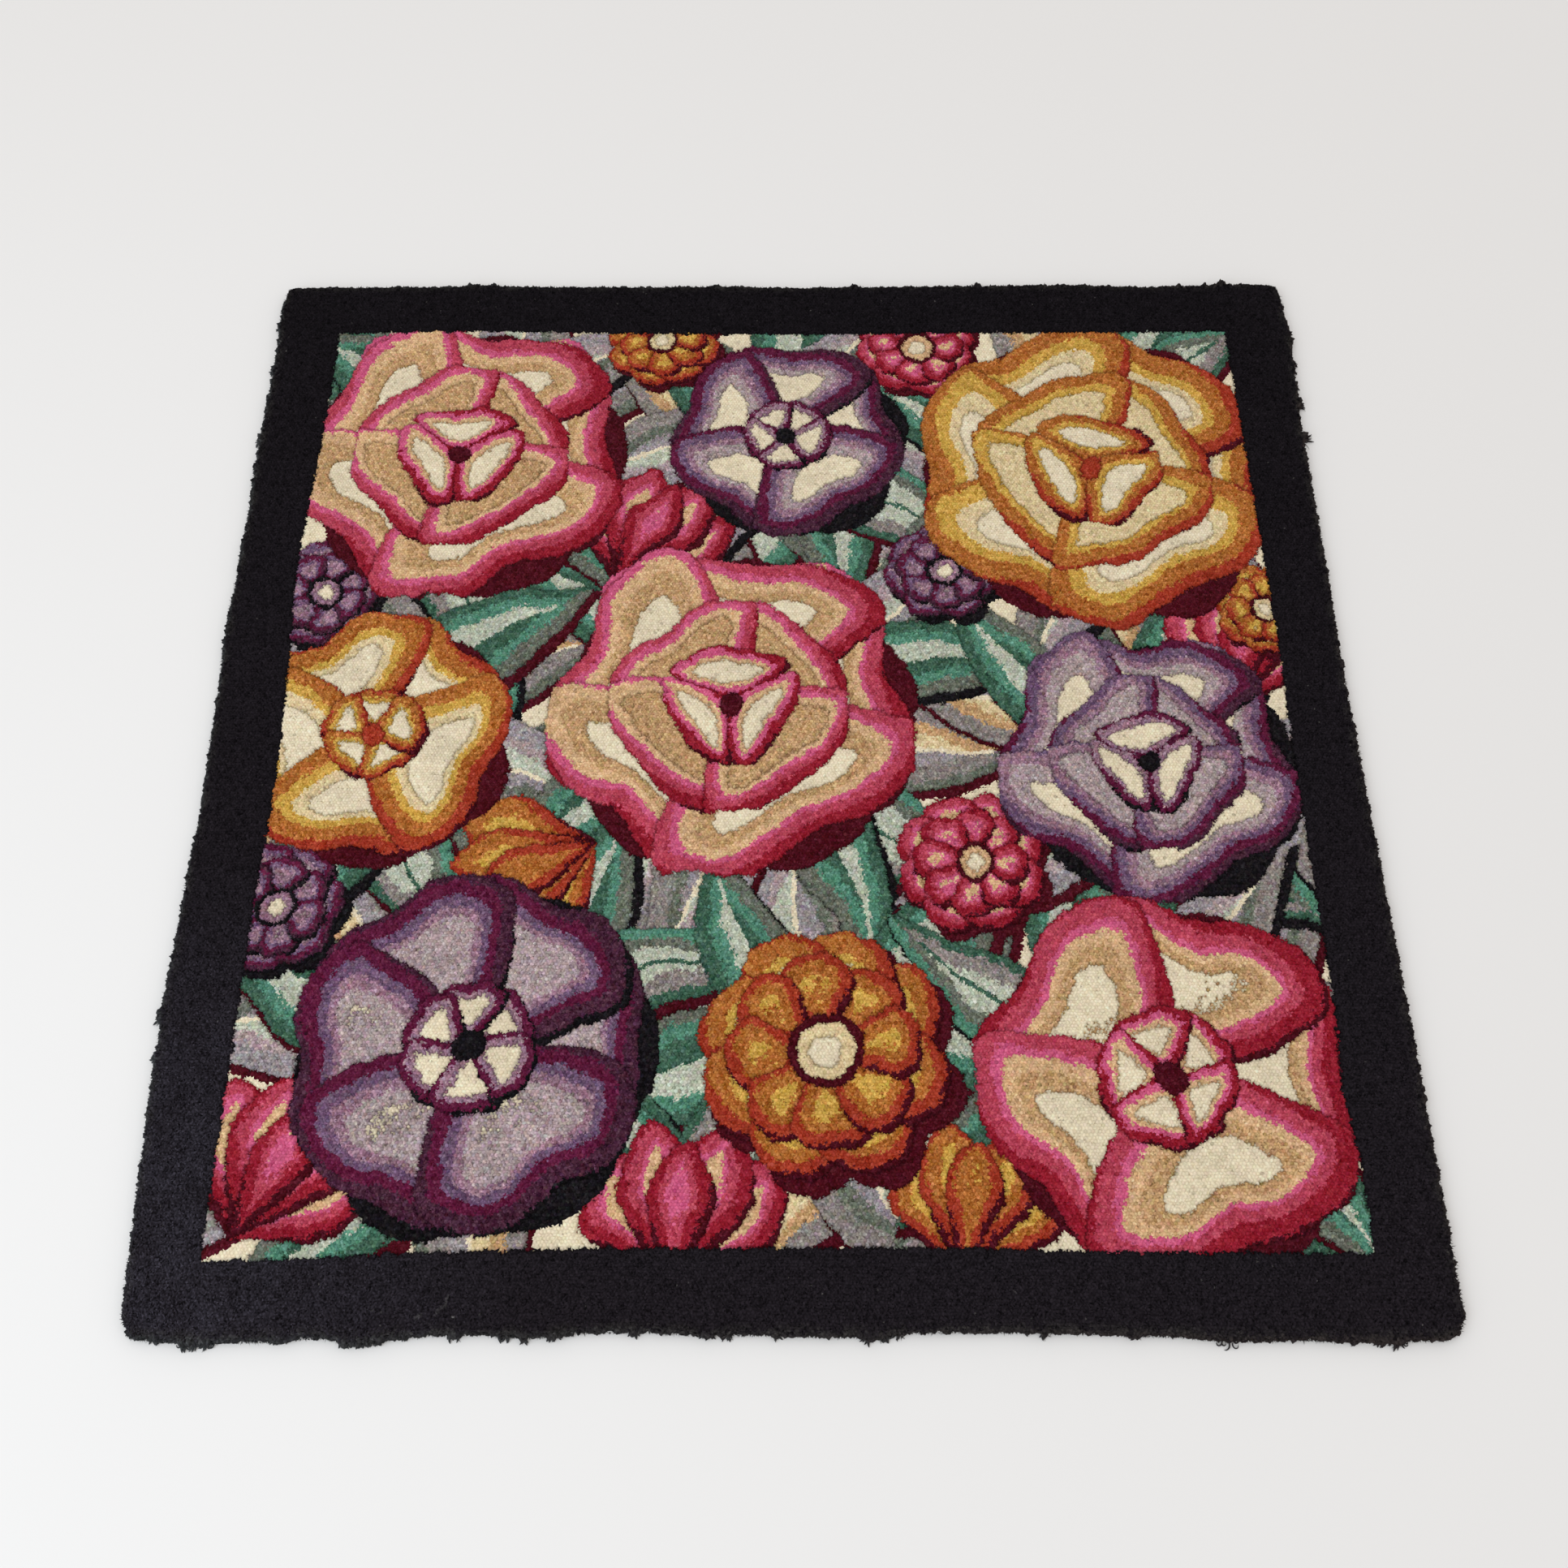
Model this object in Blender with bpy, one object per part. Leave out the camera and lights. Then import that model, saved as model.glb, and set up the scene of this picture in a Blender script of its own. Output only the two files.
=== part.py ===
"""A square tufted wool rug, lying flat: one cloth of cut pile with a plain dark border.

The pile and the base cloth that it is tufted through are one piece of work, so the rug is one solid.
Its rim wanders as the real one does, its corners are a little rounded, and its pile edge is a soft shoulder
over a short upright side. The top carries the low relief of the sheared pile: a carved line between border
and field, and flower heads that stand a little proud, with soft troughs between their petals.

Metres, +Z up. The rug lies on z = 0, centred on the origin. -Y is its near side, +Y its far side.
"""

import math
from collections import namedtuple

import bmesh
import bpy

# Driving sizes
MM = 0.001
RUG_SIDE = 1.400
PILE_TOP = 0.0125
FLOWER_LIFT = 0.0015
BORDER = {"left": 0.084, "right": 0.082, "near": 0.087, "far": 0.086}
NEAR_CORNER_RADIUS = 0.028
FAR_CORNER_RADIUS = 0.017

# The soft shoulder of the pile and the turned edge of the cloth under it
SHOULDER = 0.006
SHOULDER_STEPS = 3
HEM_HEIGHT = 0.0015
HEM_INSET = 0.002

# The carved line between border and field
CARVED_WIDTH = 0.008
CARVED_DEPTH = 0.0025

# Mesh steps
FIELD_CELLS = 54
BORDER_CELLS = 3
HALF_SIDE = RUG_SIDE / 2

# How the rim wanders: at a place along a side, measured in mm from its left or its far end, the rim stands
# out by so many mm (or in, where negative), and this fades to nothing within the reach on both sides.
Bulge = namedtuple("Bulge", "side along reach out")
BULGES = (
    Bulge("left", 60, 50, 3),
    Bulge("left", 220, 80, 2),
    Bulge("left", 300, 80, 3),
    Bulge("left", 420, 120, 2),
    Bulge("left", 550, 110, 4),
    Bulge("left", 800, 110, -3),
    Bulge("left", 1030, 60, 2),
    Bulge("left", 1220, 90, -4),
    Bulge("left", 1310, 90, -8),
    Bulge("left", 1400, 90, -12),
    Bulge("right", 90, 80, 7),
    Bulge("right", 170, 80, 5),
    Bulge("right", 610, 130, -2),
    Bulge("right", 900, 100, 2),
    Bulge("right", 1000, 100, 3),
    Bulge("right", 1100, 100, 5),
    Bulge("right", 1200, 100, 5),
    Bulge("right", 1300, 100, 6),
    Bulge("right", 1400, 100, 6),
    Bulge("far", 275, 45, 4),
    Bulge("far", 470, 130, -1),
    Bulge("far", 730, 110, -3),
    Bulge("far", 1080, 90, 2),
    Bulge("far", 1220, 60, -2),
    Bulge("far", 1335, 55, 3),
    Bulge("near", 50, 50, 3),
    Bulge("near", 100, 50, 5),
    Bulge("near", 160, 60, 4),
    Bulge("near", 260, 45, 6),
    Bulge("near", 350, 60, -3),
    Bulge("near", 500, 55, -5),
    Bulge("near", 560, 60, -5),
    Bulge("near", 680, 70, -2),
    Bulge("near", 860, 70, -4),
    Bulge("near", 930, 70, -4),
    Bulge("near", 1000, 80, -3),
    Bulge("near", 1160, 60, 5),
    Bulge("near", 1220, 60, 4),
    Bulge("near", 1280, 60, 5),
    Bulge("near", 1340, 60, 5),
)

# The flower heads of the field: centre and radius in mm, number of petals, and turn in degrees
Flower = namedtuple("Flower", "wool x y radius petals turn")
FLOWERS = (
    Flower("rose", -430, 410, 215, 5, 8),
    Flower("purple", 5, 440, 155, 5, 18),
    Flower("golden", 410, 385, 235, 6, 0),
    Flower("golden", -500, -5, 165, 5, 50),
    Flower("rose", -65, 35, 220, 5, 12),
    Flower("purple", 440, -45, 175, 5, 15),
    Flower("purple", -350, -395, 205, 6, 4),
    Flower("golden", 45, -400, 150, 8, 28),
    Flower("rose", 425, -430, 210, 5, 2),
)
PETAL_NOTCH = 0.16
PETAL_TROUGH = 0.6

# Wool colours, as linear red, green and blue
WOOLS = {
    "border": (0.011, 0.009, 0.013),
    "ground": (0.72, 0.60, 0.42),
    "rose": (0.48, 0.04, 0.10),
    "golden": (0.60, 0.27, 0.05),
    "purple": (0.16, 0.09, 0.23),
}
WOOL_ROUGHNESS = 0.95


def clear_scene():
    """Removes whatever the file opened with."""
    for thing in list(bpy.data.objects):
        bpy.data.objects.remove(thing, do_unlink=True)


def wool_material(name, colour):
    """A plain matt wool."""
    material = bpy.data.materials.new(name + "_wool")
    material.use_nodes = True
    shader = material.node_tree.nodes["Principled BSDF"]
    shader.inputs["Base Color"].default_value = (*colour, 1.0)
    shader.inputs["Roughness"].default_value = WOOL_ROUGHNESS
    shader.inputs["Metallic"].default_value = 0.0
    return material


def hump(distance, reach):
    """A smooth hump: 1 at distance 0, falling along a cosine to 0 at the reach."""
    if abs(distance) >= reach:
        return 0.0
    return 0.5 + 0.5 * math.cos(math.pi * distance / reach)


def wander(side, place):
    """How far the rim of one side stands out at a place, in metres along X or Y from the rug's centre."""
    if side in ("left", "right"):
        along = (HALF_SIDE - place) / MM
    else:
        along = (place + HALF_SIDE) / MM
    return MM * sum(b.out * hump(along - b.along, b.reach) for b in BULGES if b.side == side)


def grid_lines(low_side, high_side):
    """The rug's grid lines from one side's rim to the other's, with one in the middle of each carved line."""
    half_line = CARVED_WIDTH / 2
    rim = HALF_SIDE - SHOULDER
    low_field = -HALF_SIDE + BORDER[low_side]
    high_field = HALF_SIDE - BORDER[high_side]
    low_step = (low_field - half_line + rim) / BORDER_CELLS
    high_step = (rim - high_field - half_line) / BORDER_CELLS
    field_step = (high_field - low_field - CARVED_WIDTH) / FIELD_CELLS
    low = [-rim + low_step * k for k in range(BORDER_CELLS + 1)] + [low_field]
    field = [low_field + half_line + field_step * k for k in range(FIELD_CELLS + 1)]
    high = [high_field] + [high_field + half_line + high_step * k for k in range(BORDER_CELLS + 1)]
    return low + field + high


def in_from_field(x, y):
    """The distance from the carved line: positive inside the field, negative on the border."""
    return HALF_SIDE + min(
        x - BORDER["left"],
        -x - BORDER["right"],
        y - BORDER["near"],
        -y - BORDER["far"],
    )


def rounded(x, y):
    """Draws the square's corners in to arcs: near a corner, each small square ring becomes a round one."""
    radius = NEAR_CORNER_RADIUS if y < 0 else FAR_CORNER_RADIUS
    across = abs(x) - (HALF_SIDE - radius)
    along = abs(y) - (HALF_SIDE - radius)
    if across <= 0 or along <= 0:
        return x, y
    scale = max(across, along) / math.hypot(across, along)
    return (
        math.copysign(HALF_SIDE - radius + across * scale, x),
        math.copysign(HALF_SIDE - radius + along * scale, y),
    )


def shift(side, across, along):
    """How far a point moves with the rim of a side: all the way at the rim, and not at all in the field."""
    share = 1.0 - (HALF_SIDE - abs(across)) / BORDER[side]
    outward = math.copysign(1.0, across)
    return outward * wander(side, along) * min(max(share, 0.0), 1.0)


def laid(x, y):
    """Where a point of the true square lies on the real rug, with its rounded corners and wandering rim."""
    out_x = shift("left" if x < 0 else "right", x, y)
    out_y = shift("near" if y < 0 else "far", y, x)
    x, y = rounded(x, y)
    return x + out_x, y + out_y


def flower_height(flower, x, y):
    """The low dome of one flower head, dipping towards its rim and between its petals."""
    across = x / MM - flower.x
    along = y / MM - flower.y
    reach = math.hypot(across, along)
    angle = math.atan2(along, across) - math.radians(flower.turn)
    between = 1.0 - abs(math.cos(flower.petals * angle / 2))
    rim = flower.radius * (1.0 - PETAL_NOTCH * between)
    if reach >= rim:
        return 0.0
    share = reach / rim
    trough = PETAL_TROUGH * between**3 * share
    return FLOWER_LIFT * math.sqrt(1.0 - share**4) * (1.0 - trough)


def top_height(x, y):
    """The height of the sheared pile: flowers over a level ground, and the carved line round the field."""
    inside = in_from_field(x, y)
    if abs(inside) < CARVED_WIDTH / 4:
        return PILE_TOP - CARVED_DEPTH
    if inside < 0:
        return PILE_TOP
    fade = min(1.0, inside / (4 * CARVED_WIDTH))
    return PILE_TOP + fade * max(flower_height(flower, x, y) for flower in FLOWERS)


def side_profile():
    """The edge from the shoulder to the floor, as distance outside the flat top's rim and height."""
    profile = []
    for step in range(1, SHOULDER_STEPS + 1):
        turn = math.radians(90 * step / SHOULDER_STEPS)
        profile.append((SHOULDER * math.sin(turn), PILE_TOP - SHOULDER * (1 - math.cos(turn))))
    profile.append((SHOULDER, HEM_HEIGHT))
    profile.append((SHOULDER - HEM_INSET, 0.0))
    return profile


def wool_at(x, y):
    """The name of the wool at a point of the top."""
    if in_from_field(x, y) < 0:
        return "border"
    for flower in reversed(FLOWERS):
        if flower_height(flower, x, y) > 0:
            return flower.wool
    return "ground"


def lay_top(bm):
    """A grid laid out as the rug's top. Returns each vertex's place on the true square."""
    xs = grid_lines("left", "right")
    ys = grid_lines("near", "far")
    cells = len(xs) - 1
    bmesh.ops.create_grid(bm, x_segments=cells, y_segments=cells, size=cells / 2)
    flat = {}
    for vert in bm.verts:
        column = round(vert.co.x + cells / 2)
        row = round(vert.co.y + cells / 2)
        x, y = xs[column], ys[row]
        flat[vert] = (x, y)
        vert.co = (*laid(x, y), top_height(x, y))
    return flat


def draw_down(bm, rim, flat, out, height):
    """Draws the open rim out and down by one step of the side, and returns the new rim's edges."""
    made = bmesh.ops.extrude_edge_only(bm, edges=rim)["geom"]
    new_rim = [item for item in made if isinstance(item, bmesh.types.BMEdge) and item.is_boundary]
    grow = (HALF_SIDE - SHOULDER + out) / (HALF_SIDE - SHOULDER)
    places = {}
    for vert in {vert for edge in new_rim for vert in edge.verts}:
        above = next(v for edge in vert.link_edges for v in edge.verts if v in flat)
        places[vert] = flat[above]
    for vert, (x, y) in places.items():
        vert.co = (*laid(x * grow, y * grow), height)
    flat.update(places)
    return new_rim


def rug_mesh():
    """The top, its rim drawn down over the shoulder to the floor, closed by one flat face underneath."""
    bm = bmesh.new()
    flat = lay_top(bm)
    rim = [edge for edge in bm.edges if edge.is_boundary]
    for out, height in side_profile():
        rim = draw_down(bm, rim, flat, out, height)
    bmesh.ops.contextual_create(bm, geom=rim)
    bmesh.ops.recalc_face_normals(bm, faces=bm.faces)
    return bm


def centre_on_origin(bm):
    """Slides the rug so that the middle of its own box is over the origin."""
    for axis in (0, 1):
        places = [vert.co[axis] for vert in bm.verts]
        middle = (min(places) + max(places)) / 2
        for vert in bm.verts:
            vert.co[axis] -= middle


def build_rug(collection):
    """The rug as one object, each face in the wool that it is mostly tufted with."""
    bm = rug_mesh()
    names = list(WOOLS)
    for face in bm.faces:
        middle = face.calc_center_median()
        flat_up = face.normal.z > 0.5
        face.material_index = names.index(wool_at(middle.x, middle.y)) if flat_up else 0
        face.smooth = True
    centre_on_origin(bm)
    mesh = bpy.data.meshes.new("tufted_rug")
    bm.to_mesh(mesh)
    bm.free()
    for name, colour in WOOLS.items():
        mesh.materials.append(wool_material(name, colour))
    mesh.set_sharp_from_angle(angle=math.radians(60))
    rug = bpy.data.objects.new("tufted_rug", mesh)
    collection.objects.link(rug)
    return rug


clear_scene()
parts = bpy.data.collections.new("square_rug")
bpy.context.scene.collection.children.link(parts)
build_rug(parts)
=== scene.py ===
# %% [markdown]
# # A square tufted wool rug
#
# The rug is one cloth: wool yarn is shot through a woven base in short rows, and its loops are sheared to a
# level pile about a centimetre deep. Every colour is its own yarn, so the drawing's edges are jagged by one
# tuft, never blurred. A near-black border runs round a field of flowers, and the worn rim sheds yarns.
#
# The script works as the tufter does. It lays out a lattice of tufts, gives each its yarn and its height, and
# rolls the pile's edge down to the floor. Then it adds the base cloth, the frayed yarns and the fuzz.

import math
from collections import namedtuple

import bpy
import numpy as np
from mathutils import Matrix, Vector


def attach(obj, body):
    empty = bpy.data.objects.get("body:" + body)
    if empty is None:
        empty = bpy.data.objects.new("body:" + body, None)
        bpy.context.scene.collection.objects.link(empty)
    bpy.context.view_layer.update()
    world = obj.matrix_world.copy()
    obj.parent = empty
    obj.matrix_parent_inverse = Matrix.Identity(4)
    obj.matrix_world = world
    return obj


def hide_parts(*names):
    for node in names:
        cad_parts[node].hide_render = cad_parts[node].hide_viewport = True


MM = 0.001

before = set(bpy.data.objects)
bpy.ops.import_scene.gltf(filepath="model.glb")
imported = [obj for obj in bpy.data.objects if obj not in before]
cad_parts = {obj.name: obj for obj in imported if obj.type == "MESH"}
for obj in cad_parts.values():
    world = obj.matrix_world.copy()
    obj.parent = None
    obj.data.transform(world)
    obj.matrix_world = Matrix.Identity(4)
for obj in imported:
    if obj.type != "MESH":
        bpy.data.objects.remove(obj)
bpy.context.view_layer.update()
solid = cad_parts["tufted_rug"]

# %% [markdown]
# ## Where the border and the rim lie
#
# The solid has a carved line between border and field and a ring of points where its rim is widest. Both are
# found by their height. The rim is read off as a line for each side: how far it stands out at each place.

# %% The carved line and the rim's points
PILE_TOP = 12.5 * MM
CARVED_DEPTH = 2.5 * MM
HEM_HEIGHT = 1.5 * MM
SAME_HEIGHT = 0.1 * MM
FIELD_REACH = 650 * MM

corners = np.empty(len(solid.data.vertices) * 3)
solid.data.vertices.foreach_get("co", corners)
corners = corners.reshape(-1, 3)


def at_height(height):
    """The solid's points at one height, as x and y."""
    return corners[np.abs(corners[:, 2] - height) < SAME_HEIGHT, :2]


carved = at_height(PILE_TOP - CARVED_DEPTH)
carved = carved[np.abs(carved).max(axis=1) < FIELD_REACH]
middle = (carved.min(axis=0) + carved.max(axis=0)) / 2
rim_ring = at_height(HEM_HEIGHT)
print("middle of the field:", (middle / MM).round(1), "mm,", len(rim_ring), "rim points")

# %% The true square and how the worn rim wanders from it
HALF_SIDE = 700 * MM
RIM_BAND = 20 * MM
CORNER_RADIUS = {"near": 28 * MM, "far": 17 * MM}
BORDER = {"left": 84 * MM, "right": 82 * MM, "near": 87 * MM, "far": 86 * MM}
SIDE_WAYS = {"left": (-1, 0), "right": (1, 0), "near": (0, -1), "far": (0, 1)}

centre_x = middle[0] - (BORDER["left"] - BORDER["right"]) / 2
centre_y = middle[1] - (BORDER["near"] - BORDER["far"]) / 2


def rim_line(out_x, out_y):
    """The rim of one side as two arrays: places along it, and how far it stands outside the true square."""
    x, y = (rim_ring - (centre_x, centre_y)).T
    out = out_x * x + out_y * y
    along = y if out_x else x
    on_side = (out > HALF_SIDE - RIM_BAND) & (np.abs(along) < HALF_SIDE - CORNER_RADIUS["near"])
    order = np.argsort(along[on_side])
    return along[on_side][order], out[on_side][order] - HALF_SIDE


RIM = {side: rim_line(*way) for side, way in SIDE_WAYS.items()}
print("out by up to", {side: round(float(out.max() / MM), 1) for side, (_, out) in RIM.items()}, "mm")

# %% [markdown]
# ## The lie of the cloth
#
# The pile is worked out flat first, on an unfolded plane. Three steps then lay it down. The outer centimetre
# rolls over a soft shoulder and runs down to the floor. The corners, still square on the plane, are drawn in
# to arcs. Last, everything on the border moves with the worn rim, in full at the rim and not at all at the
# field. So the tufts keep their size right over the edge, and each mesh has a map without stretch.

# %% Rolling the edge over and laying the cloth down
SHOULDER = 6 * MM
FLAT_HALF = HALF_SIDE - SHOULDER
TINY = 1e-9


def rolled(place):
    """How far out a place of the unfolded plane comes to lie: a quarter circle past the flat top, no more."""
    past = np.maximum(np.abs(place) - FLAT_HALF, 0)
    turn = np.minimum(past / SHOULDER, math.pi / 2)
    return np.sign(place) * (np.minimum(np.abs(place), FLAT_HALF) + SHOULDER * np.sin(turn))


def past_flat(x, y):
    """How far a place of the unfolded plane lies outside the flat top."""
    return np.maximum(np.maximum(np.abs(x), np.abs(y)) - FLAT_HALF, 0)


def dropped(x, y):
    """How far the cloth has come down: radius times one less the cosine of the turn, then straight down."""
    past = past_flat(x, y)
    turn = np.minimum(past / SHOULDER, math.pi / 2)
    return SHOULDER * (1 - np.cos(turn)) + np.maximum(past - SHOULDER * math.pi / 2, 0)


def outlined(x, y):
    """A point of the true square on the real rug: rings near a corner become arcs, then the rim's shift."""
    start = HALF_SIDE - np.where(y < 0, CORNER_RADIUS["near"], CORNER_RADIUS["far"])
    across = np.abs(x) - start
    along = np.abs(y) - start
    at_corner = (across > 0) & (along > 0)
    scale = np.maximum(across, along) / np.maximum(np.hypot(across, along), TINY)
    lie_x = np.where(at_corner, np.sign(x) * (start + across * scale), x)
    lie_y = np.where(at_corner, np.sign(y) * (start + along * scale), y)
    for side, (out_x, out_y) in SIDE_WAYS.items():
        share = np.clip(1 - (HALF_SIDE - out_x * x - out_y * y) / BORDER[side], 0, 1)
        shift = share * np.interp(y if out_x else x, *RIM[side])
        lie_x = lie_x + out_x * shift
        lie_y = lie_y + out_y * shift
    return lie_x + centre_x, lie_y + centre_y


print("flat to", round(FLAT_HALF / MM), "mm from the middle")

# %% [markdown]
# ## A lattice of tufts
#
# Each tuft lies against the gap of the next row: a hexagonal lattice. Tufts made as bundles of fibres would
# be millions of faces, so the pile is one surface. Every tuft has a point on top and shares six points in the
# valleys round it, so it takes six triangles and still has a real dip on every side.

# %% The tops of the tufts on the unfolded plane
PITCH = 4.0 * MM
ROW_STEP = PITCH * math.sqrt(3) / 2
UNFOLDED_HALF = 709 * MM
UNEVEN = 0.95 * MM

chance = np.random.default_rng(7)
columns = int(2 * UNFOLDED_HALF / PITCH) + 3
rows = int(2 * UNFOLDED_HALF / ROW_STEP) + 3
row, column = np.mgrid[0:rows, 0:columns]
parity = row % 2
top_x = (column + 0.5 * parity - (columns - 0.5) / 2) * PITCH
tops = np.stack([top_x, (row - (rows - 1) / 2) * ROW_STEP], axis=-1)
tops = tops + chance.uniform(-UNEVEN, UNEVEN, tops.shape)
print(rows, "rows of", columns, "tufts")

# %% [markdown]
# A valley lies in the middle of three tufts, two below and one above or the reverse. Which tufts those are
# depends on whether the row is shifted to the right, so the row's parity gives them for all at once.

# %% The valleys between them, for any value given at the tops
def beside(up, right):
    """For every tuft but the last row and column, the tuft that many rows up and columns to the right."""
    return row[:-1, :-1] + up, column[:-1, :-1] + right


shifted = parity[:-1, :-1]
UPWARD = (beside(0, 0), beside(0, 1), beside(1, shifted))
DOWNWARD = (beside(1, 0), beside(1, 1), beside(0, 1 - shifted))


def with_valleys(at_tops):
    """Values at the tops, then at the upward and the downward valleys, which are the means of three tops."""
    values = [at_tops]
    for three in (UPWARD, DOWNWARD):
        valleys = at_tops.copy()
        valleys[:-1, :-1] = sum(at_tops[tuft] for tuft in three) / 3
        values.append(valleys)
    return np.stack(values).reshape(3 * rows * columns, -1)


flat_points = with_valleys(tops)
point_count = len(flat_points)
tuft_count = rows * columns
is_valley = np.arange(point_count) >= tuft_count
print(point_count, "points in the lattice")

# %% Six triangles round every whole tuft
TOP, UP, DOWN = 0, 1, 2
AROUND = ((DOWN, -1, 0), (UP, 0, 0), (DOWN, 0, parity - 1), (UP, 0, -1), (DOWN, -1, -1), (UP, -1, parity - 1))


def point_number(which, up, right):
    """The numbers of points: the tops come first, then the upward valleys, then the downward ones."""
    return which * tuft_count + (row + up) * columns + column + right


ring = np.stack([point_number(*place) for place in AROUND], axis=-1)
top_number = np.broadcast_to(point_number(TOP, 0, 0)[..., None], ring.shape)
whole = (row > 0) & (row < rows - 1) & (column > 0) & (column < columns - 1)
tufts = np.stack([top_number, ring, np.roll(ring, -1, -1)], axis=-1)[whole]
tuft_place = tops[whole]
face_place = flat_points[tufts].mean(axis=-2)
print("tufts:", len(tufts), "triangles:", tufts.shape[0] * tufts.shape[1])

# %% [markdown]
# ## The yarns
#
# The box of dyed wools has near-black and oxblood for outlines, and families that step from dark to pale, so
# that a petal can be shaded by rings of flat colour. Some wools are spun from several dyed fibres, and their
# tufts differ more: the last number is that heather. Colours are written as on a dyer's card, from 0 to 255,
# and turned to linear light for the shader.

# %% A card of yarns: red, green, blue and heather
YARNS = {
    "black": (24, 21, 25, 0.03),
    "oxblood": (80, 14, 28, 0.03),
    "crimson": (156, 32, 50, 0.04),
    "rose": (192, 72, 94, 0.05),
    "pink": (216, 97, 137, 0.04),
    "peach": (226, 186, 142, 0.06),
    "tan": (206, 166, 120, 0.08),
    "cream": (244, 230, 200, 0.01),
    "rust": (170, 60, 40, 0.05),
    "ochre": (184, 112, 52, 0.09),
    "gold": (215, 171, 80, 0.07),
    "pale_gold": (234, 212, 166, 0.05),
    "aubergine": (75, 38, 58, 0.06),
    "plum": (99, 28, 61, 0.04),
    "periwinkle": (118, 90, 119, 0.08),
    "lilac": (160, 124, 142, 0.10),
    "grey_lilac": (182, 163, 165, 0.09),
    "deep_teal": (68, 104, 86, 0.07),
    "teal": (90, 144, 122, 0.07),
    "sage": (112, 118, 106, 0.08),
    "mint": (196, 202, 184, 0.07),
    "blue_grey": (162, 154, 158, 0.09),
    "warm_grey": (148, 140, 136, 0.09),
}
YARN_NUMBER = {name: number for number, name in enumerate(YARNS)}
card = np.array(list(YARNS.values()))


def linear(colour):
    """Screen values from 0 to 255 as linear light: a straight foot, then a power of 2.4."""
    value = np.asarray(colour, float) / 255
    return np.where(value < 0.04045, value / 12.92, ((value + 0.055) / 1.055) ** 2.4)


print(len(YARNS), "yarns")

# %% [markdown]
# ## The tufter's hand
#
# Nobody tufts a perfect curve. Slow waves bend every line of the drawing by some millimetres, quicker ones
# make it wobble, and each tuft strays by less than its own width. Cut ends spread into their neighbours, so
# each triangle strays as well, which gives the bands fine teeth. Inside one petal the wools run into each
# other over several tufts: that further stray is the melt, and it only moves the bands.

# %% Uneven places for the drawing, in mm
WOBBLE, WOBBLE_SIZE = 1.2, 22
BEND, BEND_SIZE = 4, 110
TUFT_STRAY, FACE_STRAY = 0.75, 0.5
MELT, MELT_SIZE = 2.2, 34
TUFT_MELT, FACE_MELT = 1.5, 0.8


def drift(x, y, size, seed):
    """Smooth unevenness, mostly from -1 to 1: five waves of about this size, each in its own direction."""
    own = np.random.default_rng(seed)
    total = np.zeros_like(x)
    for _ in range(5):
        turn = own.uniform(0, 2 * math.pi)
        wave = size * own.uniform(0.7, 1.5)
        phase = own.uniform(0, 2 * math.pi)
        total += np.sin((x * math.cos(turn) + y * math.sin(turn)) * 2 * math.pi / wave + phase)
    return total / 3


draw_x, draw_y = np.moveaxis(face_place / MM, -1, 0)
tuft_stray = chance.normal(0, TUFT_STRAY, (2, len(tufts), 1))
face_stray = chance.normal(0, FACE_STRAY, (2, *draw_x.shape))
bent_x = draw_x + WOBBLE * drift(draw_x, draw_y, WOBBLE_SIZE, 2) + tuft_stray[0] + face_stray[0]
bent_y = draw_y + WOBBLE * drift(draw_x, draw_y, WOBBLE_SIZE, 4) + tuft_stray[1] + face_stray[1]
hand_x = bent_x + BEND * drift(draw_x, draw_y, BEND_SIZE, 1)
hand_y = bent_y + BEND * drift(draw_x, draw_y, BEND_SIZE, 3)
melt = MELT * drift(draw_x, draw_y, MELT_SIZE, 5) + chance.normal(0, TUFT_MELT, (len(tufts), 1))
melt = melt + chance.normal(0, FACE_MELT, draw_x.shape)
print("the hand strays up to", round(float(np.hypot(hand_x - draw_x, hand_y - draw_y).max()), 1), "mm")

# %% [markdown]
# ## Drawing with yarn
#
# Two arrays hold the drawing, one value a triangle: which yarn, and which carved shape it belongs to. After
# tufting, scissors are run round petals and pale shapes, so a thin groove stands where two carved shapes
# meet, dark with its own shade and with painted shade. Shapes are drawn one over another, the last on top.
# All their sizes are in mm.

# %% The drawing and its shading
yarn_of = np.full(draw_x.shape, YARN_NUMBER["cream"])
shape_of = np.zeros(draw_x.shape, int)
shape_numbers = iter(range(1, 100000, 2))
LIGHT_FROM = (-0.55, 0.83)


def near(x, y, reach):
    """The triangles within a square of this half width, so that a shape looks at few of them."""
    return np.nonzero((np.abs(hand_x - x) < reach) & (np.abs(hand_y - y) < reach))


def turned(x, y, degrees):
    """x and y as seen from axes turned by an angle: along it, and to its left."""
    cosine = math.cos(math.radians(degrees))
    sine = math.sin(math.radians(degrees))
    return x * cosine + y * sine, y * cosine - x * sine


def shaded(depth, bands, scale=1.0):
    """The yarn at each depth in a shape. Bands are (yarn, width) from the rim in; the last fills the rest."""
    ends = np.cumsum([width * scale for _, width in bands[:-1]])
    band = np.searchsorted(ends, depth, side="right")
    return np.array([YARN_NUMBER[name] for name, _ in bands])[band], band


def work(places, inside, yarn, shape=0):
    """Works the places that are inside in a yarn or an array of yarns, as a carved shape where it isn't 0."""
    kept = tuple(axis[inside] for axis in places)
    yarn_of[kept] = yarn
    shape_of[kept] = shape


# %% [markdown]
# A petal is a long rounded shape that starts at the flower's heart. Two half ellipses of a chosen power, a
# short one to the tip and a long one to the base, give its outline, with a dent at the tip. The shading needs
# the depth inside that outline: the ellipse's value divided by its slope is a good measure. Light falls from
# the far left, so the bands start later on that side and the dark ones show on the shaded side only.

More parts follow.
